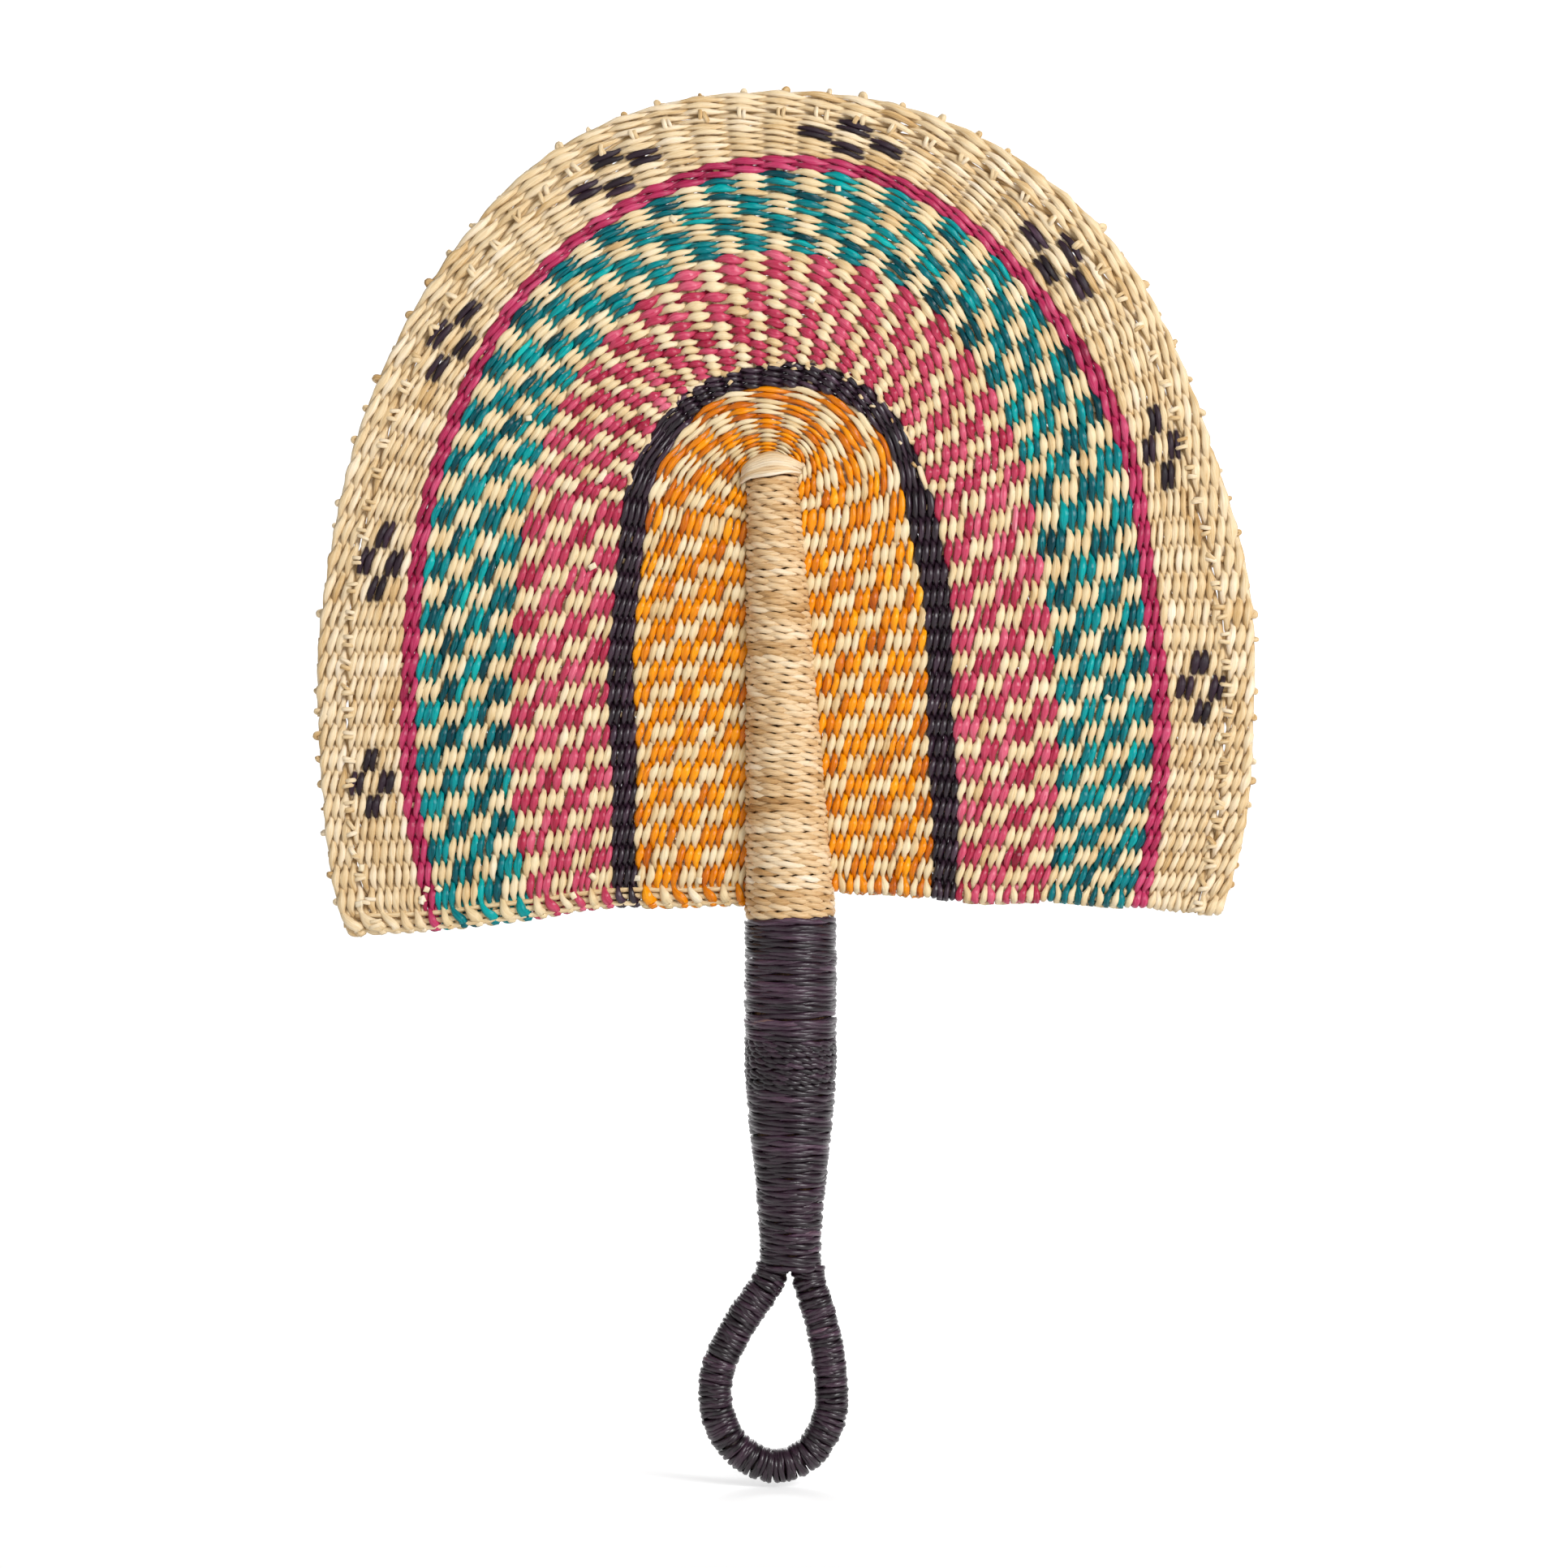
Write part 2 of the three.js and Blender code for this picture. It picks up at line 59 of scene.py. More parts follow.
# Sizes in millimetres, the same as the CAD part's
fan = {
    "gripLength": 101, "gripDiameter": 27, "gripEndDiameter": 18, "gripTaperLength": 62,
    "neckLength": 135, "neckTopDiameter": 16, "neckLean": 5.3,
    "firstStraw": 6.6, "strawPitch": 5.8, "crossStraws": 19, "upperStraws": 11,
    "bladeTopShare": 0.86, "bladeShift": -1.7, "hemDraw": 0.088, "widestHeight": 0.25,
    "shoulderPower": 2.15, "edgeCrowding": 0.32, "tipDraw": 0.5,
    "hemSag": 5, "sagStraws": 8, "sagStart": 0.4, "sagFull": 0.74,
    "loopDrop": 57.8, "loopWidth": 33, "loopLean": 5,
}
bandWidths = {"orange": 31, "black": 7.5, "pink": 28, "teal": 26.5, "magenta": 6, "rim": 23}
gripTop = fan["gripLength"] / 2
tipHeight = gripTop + fan["neckLength"] - fan["neckTopDiameter"] / 2
tipRadius = fan["neckTopDiameter"] / 2
hemHeight = gripTop + fan["firstStraw"]
slotsPerUpper = 3  # an upper straw and the two legs of an added one
slotCount = 2 * fan["crossStraws"] + slotsPerUpper * fan["upperStraws"]
bandTotal = sum(bandWidths.values())
lastSide = fan["crossStraws"] - 0.5


def mix(a, b, t):
    return a + (b - a) * t


def smoothStep(t):
    t = np.clip(t, 0, 1)
    return t * t * (3 - 2 * t)


def unit(vectors):
    return vectors / np.linalg.norm(vectors, axis=-1, keepdims=True)


# How far each point of a polyline lies from its start
def reaches(points):
    return np.concatenate([[0], np.cumsum(np.linalg.norm(np.diff(points, axis=0), axis=1))])


# Points along a polyline, at distances from its start
def alongLine(points, distance):
    reach = reaches(points)
    return np.stack([np.interp(distance, reach, column) for column in points.T], -1)


def lineLength(points):
    return np.linalg.norm(np.diff(points, axis=0), axis=1).sum()


def evenPoints(points, count):
    return alongLine(points, np.linspace(0, lineLength(points), count))


# A smooth curve through points: power 0 spaces its knots evenly, 0.5 by the root of the distance
def smoothCurve(points, perPoint, power=0.0):
    points = np.array(points, float)
    padded = np.vstack([2 * points[0] - points[1], points, 2 * points[-1] - points[-2]])
    if not power:
        padded[0], padded[-1] = points[0], points[-1]
    made = []
    t = np.linspace(0, 1, perPoint, endpoint=False)[:, None]
    for p0, p1, p2, p3 in zip(padded, padded[1:], padded[2:], padded[3:]):
        d0, d1, d2 = (np.linalg.norm(b - a) ** power if power else 1
                      for a, b in ((p0, p1), (p1, p2), (p2, p3)))
        start = d1 * ((p1 - p0) / d0 - (p2 - p0) / (d0 + d1) + (p2 - p1) / d1)
        end = d1 * ((p2 - p1) / d1 - (p3 - p1) / (d1 + d2) + (p3 - p2) / d2)
        made.append(p1 + start * t + (3 * (p2 - p1) - 2 * start - end) * t**2
                    + (2 * (p1 - p2) + start + end) * t**3)
    return np.vstack(made + [points[-1:]])


def handleRadius(z):
    rise = np.clip((z - gripTop) / (tipHeight - gripTop), 0, 1)
    taper = smoothStep((z + gripTop) / fan["gripTaperLength"])
    neck = mix(fan["gripDiameter"], fan["neckTopDiameter"], rise)
    grip = mix(fan["gripEndDiameter"], fan["gripDiameter"], taper)
    return np.where(z > gripTop, neck, grip) / 2


def handleShift(z):
    return -fan["neckLean"] * np.maximum(z - gripTop, 0) / (tipHeight - gripTop)


def strawHeight(index):
    return hemHeight + index * fan["strawPitch"]


# How finely the neck's arch and the blade's edge are drawn
outline = {"archPoints": 60, "hemPoints": 6, "shoulderPoints": 24, "perPoint": 40, "strawsBelowHem": 2}


def makeNeckArch():
    leftZ, rightZ = strawHeight(lastSide), strawHeight(lastSide + 0.5)
    turn = np.linspace(math.pi, 0, outline["archPoints"])
    over = np.stack([-fan["neckLean"] + tipRadius * np.cos(turn), tipHeight + tipRadius * np.sin(turn)], -1)
    left = [[handleShift(leftZ) - handleRadius(leftZ), leftZ]]
    right = [[handleShift(rightZ) + handleRadius(rightZ), rightZ]]
    return np.vstack([left, over, right])


def makeBladeEdge():
    halfWidth = fan["gripDiameter"] / 2 + bandTotal
    bottom = hemHeight - outline["strawsBelowHem"] * fan["strawPitch"]
    top = tipHeight + tipRadius + fan["bladeTopShare"] * bandTotal
    widest = mix(bottom, top, fan["widestHeight"])
    half = []
    for i in range(outline["hemPoints"]):
        below = 1 - i / outline["hemPoints"]
        half.append((1 - fan["hemDraw"] * below**2, mix(widest, bottom, below)))
    power = 2 / fan["shoulderPower"]
    for i in range(outline["shoulderPoints"]):
        angle = i / outline["shoulderPoints"] * math.pi / 2
        half.append((math.cos(angle) ** power, mix(widest, top, math.sin(angle) ** power)))
    left = [(fan["bladeShift"] - x * halfWidth, z) for x, z in half]
    right = [(fan["bladeShift"] + x * halfWidth, z) for x, z in reversed(half)]
    return smoothCurve(left + [(fan["bladeShift"], top)] + right, outline["perPoint"])


neckArch = makeNeckArch()
bladeEdge = makeBladeEdge()
neckArchLength = lineLength(neckArch)
bladeEdgeLength = lineLength(bladeEdge)


# Slots run round the blade from the lower left hem to the lower right one
def neckPoint(slot):
    fromRight = slotCount - 1 - slot
    left, right = strawHeight(slot), strawHeight(fromRight + 0.5)
    share = (slot - lastSide) / (slotCount - 1 - 2 * lastSide)
    over = alongLine(neckArch, share * neckArchLength)
    onLeft, onRight = slot <= lastSide, fromRight <= lastSide
    x = np.where(onLeft, handleShift(left) - handleRadius(left),
                 np.where(onRight, handleShift(right) + handleRadius(right), over[..., 0]))
    return np.stack([x, np.where(onLeft, left, np.where(onRight, right, over[..., 1]))], -1)


def edgePoint(slot):
    start = fan["strawPitch"]
    turn = (slot + 0.5) / slotCount
    spread = turn - fan["edgeCrowding"] * np.sin(2 * math.pi * turn) / (2 * math.pi)
    return alongLine(bladeEdge, start + spread * (bladeEdgeLength - 2 * start))


# Handwork is never quite even: slow waves move the straws and rows a little, more towards the edge
handwork = {
    "waves": 9, "shift": 0.5, "bow": 1.05,
    "across": (0.015, 0.11),  # how fast the waves run from slot to slot
    "outwards": (0.4, 3.5),  # and from the neck to the edge
    "held": 0.2,  # the share of the way out over which the handle holds the straws
}
wavePhases = chance.uniform(0, 2 * math.pi, (handwork["waves"], 3))
waveAcross = chance.uniform(*handwork["across"], handwork["waves"])
waveOut = chance.uniform(*handwork["outwards"], handwork["waves"])


def handWave(slot, out):
    loose = smoothStep(out / handwork["held"])[..., None]
    travel = 2 * math.pi * (slot[..., None] * waveAcross + out[..., None] * waveOut)
    share = math.sqrt(2 / handwork["waves"])
    moves = [np.sin(travel + wavePhases[:, axis]).sum(-1) * share for axis in range(3)]
    return np.stack([moves[0] * handwork["shift"], moves[1] * handwork["bow"] * out,
                     moves[2] * handwork["shift"]], -1) * loose


# The left hem sags over its lowest straws
def sagAt(slot, out):
    fall = fan["hemSag"] * np.clip(1 - np.maximum(slot, 0) / fan["sagStraws"], 0, 1) ** 2
    return fall * smoothStep((out - fan["sagStart"]) / (fan["sagFull"] - fan["sagStart"]))


# A point of the blade: out is 0 at the neck and 1 at the edge, and y its depth
def bladePoint(slot, out, y=0.0):
    slot, out = np.broadcast_arrays(np.asarray(slot, float), np.asarray(out, float))
    inner = (bandWidths["orange"] + bandWidths["black"] + bandWidths["pink"]) / bandTotal
    off = np.abs((slot + 0.5) / slotCount - 0.5) / (slotsPerUpper / 2 * fan["upperStraws"] / slotCount)
    topness = np.cos(np.minimum(off, 1) * math.pi / 2) ** 2
    draw = np.where(out < inner, fan["tipDraw"] * topness * out * (1 - out / inner), 0)
    flat = mix(neckPoint(slot), edgePoint(slot), (out - draw)[..., None])
    place = np.stack([flat[..., 0], np.broadcast_to(y, slot.shape), flat[..., 1] - sagAt(slot, out)], -1)
    return place + handWave(slot, out)


crossSlots = list(range(fan["crossStraws"]))
upperSlots = [fan["crossStraws"] + 1 + slotsPerUpper * i for i in range(fan["upperStraws"])]
farSlots = [slotCount - 1 - i for i in reversed(crossSlots)]
innerSlots = crossSlots + upperSlots + farSlots
outerSlots = list(range(slotCount))
# Over its top the black stripe has shorter stitches, with one more between each two upper straws
blackSlots = sorted(innerSlots + [slot + slotsPerUpper / 2 for slot in upperSlots[2:8]])


def linearColour(hexText):
    channels = [int(hexText[i:i + 2], 16) / 255 for i in (1, 3, 5)]
    return [c / 12.92 if c <= 0.04045 else ((c + 0.055) / 1.055) ** 2.4 for c in channels] + [1]


def addNode(tree, kind, inputs=None, **settings):
    node = tree.nodes.new("ShaderNode" + kind)
    for name, value in settings.items():
        setattr(node, name, value)
    for socket, value in (inputs or {}).items():
        if isinstance(value, bpy.types.NodeSocket):
            tree.links.new(value, node.inputs[socket])
        else:
            node.inputs[socket].default_value = value
    return node


# The node tree of a material or world, emptied
def emptyTree(owner):
    owner.use_nodes = True
    owner.node_tree.nodes.clear()
    return owner.node_tree


def fillRamp(ramp, stops):
    while len(ramp.elements) < len(stops):
        ramp.elements.new(0.5)
    for element, (place, colour) in zip(ramp.elements, stops):
        element.position = place
        element.color = linearColour(colour)


# Split and twisted elephant grass, dry and waxy: creases, fine fibres of 0.15 mm, a satin skin, and a tone
# that changes from straw to straw. The scales are per millimetre along the straw and per radius round it
grain = {
    "line": {"scale": (0.12, 2.1, 2.1), "detail": 4.0, "roughness": 0.6, "depth": 0.55},
    "fine": {"scale": (0.3, 7.0, 7.0), "detail": 2.0, "roughness": 0.5, "depth": 0.4},
    "patch": {"scale": (0.09, 0.5, 0.5), "detail": 2.0, "roughness": 0.5, "depth": 0.45},
}
# The skin is sleeker in its dark lines and rougher in the pale ones
sheen = {"lineRange": (0.3, 0.7), "sleeker": 0.06, "rougher": 0.1, "fineRelief": 0.2, "creaseDepth": 0.0004}


def strawMaterial(materialName, look):
    material = bpy.data.materials.new(materialName)
    tree = emptyTree(material)
    fibre = addNode(tree, "Attribute", attribute_name="fibre").outputs["Vector"]
    tone = addNode(tree, "Attribute", attribute_name="tone").outputs["Fac"]
    noises = {}
    shade = tone
    for name, layer in grain.items():
        spread = addNode(tree, "Mapping", {"Vector": fibre, "Scale": layer["scale"]}).outputs[0]
        noises[name] = addNode(tree, "TexNoise", {
            "Vector": spread, "Scale": 1.0, "Detail": layer["detail"],
            "Roughness": layer["roughness"]}).outputs[0]
        shade = addNode(tree, "Math", {0: noises[name], 1: layer["depth"], 2: shade},
                        operation="MULTIPLY_ADD").outputs[0]
    middle = 0.5 * sum(layer["depth"] for layer in grain.values())
    shade = addNode(tree, "Math", {0: shade, 1: middle}, operation="SUBTRACT").outputs[0]
    ramp = addNode(tree, "ValToRGB", {"Fac": shade})
    fillRamp(ramp.color_ramp, look["stops"])
    colour = ramp.outputs["Color"]
    if "dyeStops" in look:
        dye = addNode(tree, "Attribute", attribute_name="dye").outputs["Fac"]
        dyed = addNode(tree, "ValToRGB", {"Fac": shade})
        fillRamp(dyed.color_ramp, look["dyeStops"])
        colour = addNode(tree, "Mix", {"Factor": dye, 6: colour, 7: dyed.outputs["Color"]},
                         data_type="RGBA").outputs[2]
    sleekest, roughest = sheen["lineRange"]
    rough = addNode(tree, "MapRange", {
        "Value": noises["line"], "From Min": sleekest, "From Max": roughest,
        "To Min": look["roughness"] - sheen["sleeker"], "To Max": look["roughness"] + sheen["rougher"]})
    height = addNode(tree, "Math", {0: noises["fine"], 1: sheen["fineRelief"], 2: noises["line"]},
                     operation="MULTIPLY_ADD")
    bump = addNode(tree, "Bump", {"Height": height.outputs[0], "Strength": look["bump"],
                                  "Distance": sheen["creaseDepth"]})
    shader = addNode(tree, "BsdfPrincipled", {
        "Base Color": colour, "Roughness": rough.outputs[0], "Normal": bump.outputs[0], "IOR": look["ior"]})
    addNode(tree, "OutputMaterial", {"Surface": shader.outputs[0]})
    return material


blackStops = [(0.0, "#0A0406"), (0.35, "#1A0D16"), (0.65, "#301B2A"), (0.88, "#54394C"), (1.0, "#8A6A5A")]
looks = {
    "naturalRimStraw": {  # undyed elephant grass, sun-dried
        "stops": [(0.0, "#9C703E"), (0.25, "#CBA66F"), (0.5, "#E5CCA2"), (0.75, "#F2E0C4"), (1.0, "#F9F0E2")],
        "dyeStops": blackStops, "roughness": 0.38, "ior": 1.4, "bump": 0.7},
    "naturalGroundStraw": {  # undyed elephant grass, the paler pick between the dyed strands
        "stops": [(0.0, "#AC824E"), (0.25, "#D2B07B"), (0.5, "#E5CEA2"), (0.75, "#EEDCBA"), (1.0, "#F4E9D4")],
        "roughness": 0.36, "ior": 1.4, "bump": 0.7},
    "orangeStraw": {  # elephant grass boiled in orange dye, uneven from straw to straw
        "stops": [(0.0, "#843000"), (0.3, "#C46200"), (0.55, "#E88A00"), (0.8, "#F8A204"), (1.0, "#FDBC48")],
        "roughness": 0.22, "ior": 1.36, "bump": 0.35},
    "pinkStraw": {  # boiled in pink dye, which took unevenly
        "stops": [(0.0, "#660A1E"), (0.3, "#A4223F"), (0.55, "#C24260"), (0.8, "#D8667E"), (1.0, "#EEA2B0")],
        "roughness": 0.22, "ior": 1.36, "bump": 0.35},
    "tealStraw": {  # boiled in teal dye, from sea green to nearly navy
        "stops": [(0.0, "#001820"), (0.3, "#004049"), (0.55, "#00767C"), (0.8, "#00A2A0"), (1.0, "#18BCB2")],
        "roughness": 0.2, "ior": 1.3, "bump": 0.35},
    "magentaStraw": {  # boiled in magenta dye
        "stops": [(0.0, "#640A2A"), (0.3, "#981842"), (0.55, "#B62E5A"), (0.8, "#CA4E74"), (1.0, "#E488A2")],
        "roughness": 0.27, "ior": 1.4, "bump": 0.5},
    "blackStraw": {  # dyed nearly black, with the aubergine that shows where the skin catches light
        "stops": blackStops, "roughness": 0.3, "ior": 1.5, "bump": 0.25},
    "neckCordStraw": {  # undyed grass twisted into two-ply cord
        "stops": [(0.0, "#8A5C2C"), (0.25, "#BE935E"), (0.5, "#DCBA8C"), (0.75, "#ECD5B2"), (1.0, "#F3E6D2")],
        "roughness": 0.4, "ior": 1.38, "bump": 0.7},
}
materials = {name: strawMaterial(name, look) for name, look in looks.items()}
print("materials made,", len(materials))


def meshFrom(bm, name):
    mesh = bpy.data.meshes.new(name)
    bm.to_mesh(mesh)
    bm.free()
    return mesh


def addObject(name, data):
    made = bpy.data.objects.new(name, data)
    scene.collection.objects.link(made)
    return made


# A number of rings that two rounds of subdivision can give, at least the one asked for
def ringCount(steps):
    first = max(math.isqrt(int(steps)), 1)
    return first * math.ceil(steps / first) + 1


tubes = {}


# A straight closed tube of unit radius: its mesh, and each vertex's ring and angle
def straightTube(rings, sides):
    if (rings, sides) not in tubes:
        length = rings - 1
        first = next(n for n in range(math.isqrt(length), 0, -1) if length % n == 0)
        bm = bmesh.new()
        bmesh.ops.create_cone(bm, cap_ends=True, segments=sides, radius1=1, radius2=1, depth=length)
        for parts in (first, length // first):
            if parts > 1:
                longEdges = [e for e in bm.edges if abs(e.verts[0].co.z - e.verts[1].co.z) > 0.5]
                bmesh.ops.subdivide_edges(bm, edges=longEdges, cuts=parts - 1, use_grid_fill=True)
        mesh = meshFrom(bm, "straightTube")
        places = np.empty(3 * len(mesh.vertices))
        mesh.vertices.foreach_get("co", places)
        x, y, z = places.reshape(-1, 3).T
        tubes[rings, sides] = mesh, np.rint(z + length / 2).astype(int), np.arctan2(y, x)
    return tubes[rings, sides]


# Split straw is never round: its skin swells and dents every few millimetres, and folds along a crease
skin = {"lumpLength": 1.8, "lump": 0.08, "crease": 0.2, "creaseLength": 14.0, "creaseWidth": 0.45,
        "creaseSwing": 0.9, "endSize": 0.6, "twist": 0.12, "grainReach": 900}


def skinSize(reach, angle, sides):
    knots = int(reach.max() / skin["lumpLength"]) + 2
    swells = chance.normal(0, skin["lump"], (knots, sides))
    around = np.rint(angle / (2 * math.pi / sides)).astype(int) % sides
    step = reach / max(reach.max(), 0.01) * (knots - 1.001)  # always short of the last knot
    first = step.astype(int)
    lump = mix(swells[first, around], swells[first + 1, around], step - first)
    swing = skin["creaseSwing"]
    bends = chance.uniform(-swing, swing, int(reach.max() / skin["creaseLength"]) + 2)
    creaseAt = math.pi / 2 + np.interp(step / knots, np.linspace(0, 1, len(bends)), bends)
    return 1 + lump - skin["crease"] * np.exp(-((angle - creaseAt) / skin["creaseWidth"]) ** 2)


towardsBack = np.array([0.0, 1.0, 0.0])
towardsFront = -towardsBack


# One piece from strands. Each strand gives its centre line, the way its flat side faces, and its half width,
# half thickness and tone, all along or at each ring; fibre keeps the strand's own place, so that grain runs
# along it
def strandPiece(name, strands, sides, material, replaced=()):
    bm = bmesh.new()
    places, fibres, tones, dyes = [], [], [], []
    for strand in strands:
        centre = strand["centre"]
        mesh, ring, angle = straightTube(len(centre), sides)
        bm.from_mesh(mesh)
        along = unit(np.gradient(centre, axis=0))
        facing = np.broadcast_to(strand["facing"], centre.shape)
        facing = unit(facing - along * np.sum(facing * along, axis=1, keepdims=True))
        across = np.cross(facing, along)
        ends = np.ones(len(centre))
        ends[[0, -1]] = strand.get("endSize", skin["endSize"])
        half, thick = strand["half"] * ends, strand["thick"] * ends
        reach = reaches(centre)
        size = skinSize(reach[ring], angle, sides)
        cosine, sine = np.cos(angle) * size, np.sin(angle) * size
        places.append(centre[ring] + across[ring] * (half[ring] * cosine)[:, None]
                      + facing[ring] * (thick[ring] * sine)[:, None])
        turned = angle + reach[ring] * strand.get("twist", skin["twist"])
        start = chance.uniform(0, skin["grainReach"])  # so that no two strands show the same grain
        fibres.append(np.stack([reach[ring] + start, np.cos(turned), np.sin(turned)], -1))
        tones.append(np.broadcast_to(strand["tone"], len(centre))[ring])
        dyes.append(np.broadcast_to(strand.get("dye", 0.0), len(centre))[ring])
    mesh = meshFrom(bm, name)
    mesh.vertices.foreach_set("co", np.concatenate(places).ravel() * mm)
    fibre = mesh.attributes.new("fibre", "FLOAT_VECTOR", "POINT")
    fibre.data.foreach_set("vector", np.concatenate(fibres).ravel())
    for attribute, values in (("tone", tones), ("dye", dyes)):
        layer = mesh.attributes.new(attribute, "FLOAT", "POINT")
        layer.data.foreach_set("value", np.concatenate(values))
    mesh.polygons.foreach_set("use_smooth", [True] * len(mesh.polygons))
    mesh.materials.append(materials[material])
    mesh.update()
    piece = addObject(name, mesh)
    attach(piece, "root")
    if replaced:
        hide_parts(*replaced)
    print(name, len(mesh.polygons), "faces")


# Twining: two strands turn round each other and hold one straw in each half turn. A band's pair runs back
# and forth from hem to hem, and the colours trade places every few rows
weave = {
    "rowsPerBlock": 3, "steps": 8, "foldSteps": 6, "sides": 8,
    "swing": 0.3,  # how far a strand moves off its row's middle, in rows
    "depth": 1.4, "halfThickness": 0.86, "pinch": 0.57, "fullness": 0.53,
    "bulge": 0.22,  # how much further out a strand is beside a straw than over it
    "thinShare": 0.8,  # how thick it still is between two straws
    "hemReach": 0.62, "foldReach": 0.1, "hiddenFold": -0.07, "slide": 0.8, "slantSize": 1.35,
    "foldDepth": 0.7, "slantDepth": 0.2, "hemTaper": 1.3,
    "loose": 0.085, "uneven": 0.12, "sizes": (0.75, 1.25), "stitchTone": 0.075,
    "strawLength": 7,  # how many stitches one length of straw makes before the next tone
    "lengthShift": 3,
}
bands = {
    "orange": {"rows": 14, "slots": innerSlots, "tuck": 0.9, "toneSpread": (0.17, 0.07)},
    "black": {"rows": 4, "slots": blackSlots, "tuck": 0, "toneSpread": (0.15, 0.15)},
    "pink": {"rows": 12, "slots": outerSlots, "tuck": 0, "toneSpread": (0.15, 0.07)},
    "teal": {"rows": 12, "slots": outerSlots, "tuck": 0, "toneSpread": (0.19, 0.07)},
    "magenta": {"rows": 2, "slots": outerSlots, "tuck": 0, "toneSpread": (0.12, 0.12)},
    "rim": {"rows": 10, "slots": outerSlots, "tuck": 0, "toneSpread": (0.08, 0.08)},
}
rim = {
    "knotRow": 7, "knotGap": 1.0, "gapEase": 0.4, "innerPitch": 2.16,
    "diamondSlots": [6, 15, 23, 30, 37, 44, 51, 60],
    # row and slot of each black stitch, counted from the magenta and from the middle straw
    "diamond": [(1, 0), (2, 0), (3, -1), (4, -1), (3, 1), (4, 1), (5, 0), (6, 0)],
}

# The two magenta rows are pressed together between the teal and the rim
rowWidths = {**bandWidths, "teal": 27.2, "magenta": 4.6, "rim": 23.7}


# How far out the middle or the edge of a row lies; the rim's last rows stand off behind the knots
def rowOut(name, row):
    order = list(rowWidths)
    start = sum(rowWidths[band] for band in order[:order.index(name)])
    width, tuck = rowWidths[name], bands[name]["tuck"]
    if name == "rim":
        inner = rim["knotRow"] * rim["innerPitch"]
        outerPitch = (width - inner - rim["knotGap"]) / (bands["rim"]["rows"] - rim["knotRow"])
        past = np.maximum(row - rim["knotRow"], 0)
        gap = rim["knotGap"] * smoothStep((row - rim["knotRow"]) / rim["gapEase"] + 0.5)
        pressed = np.minimum(row, rim["knotRow"]) * rim["innerPitch"]
        return (start + pressed + gap + past * outerPitch) / bandTotal
    return (start - tuck + row * (width + tuck) / bands[name]["rows"]) / bandTotal


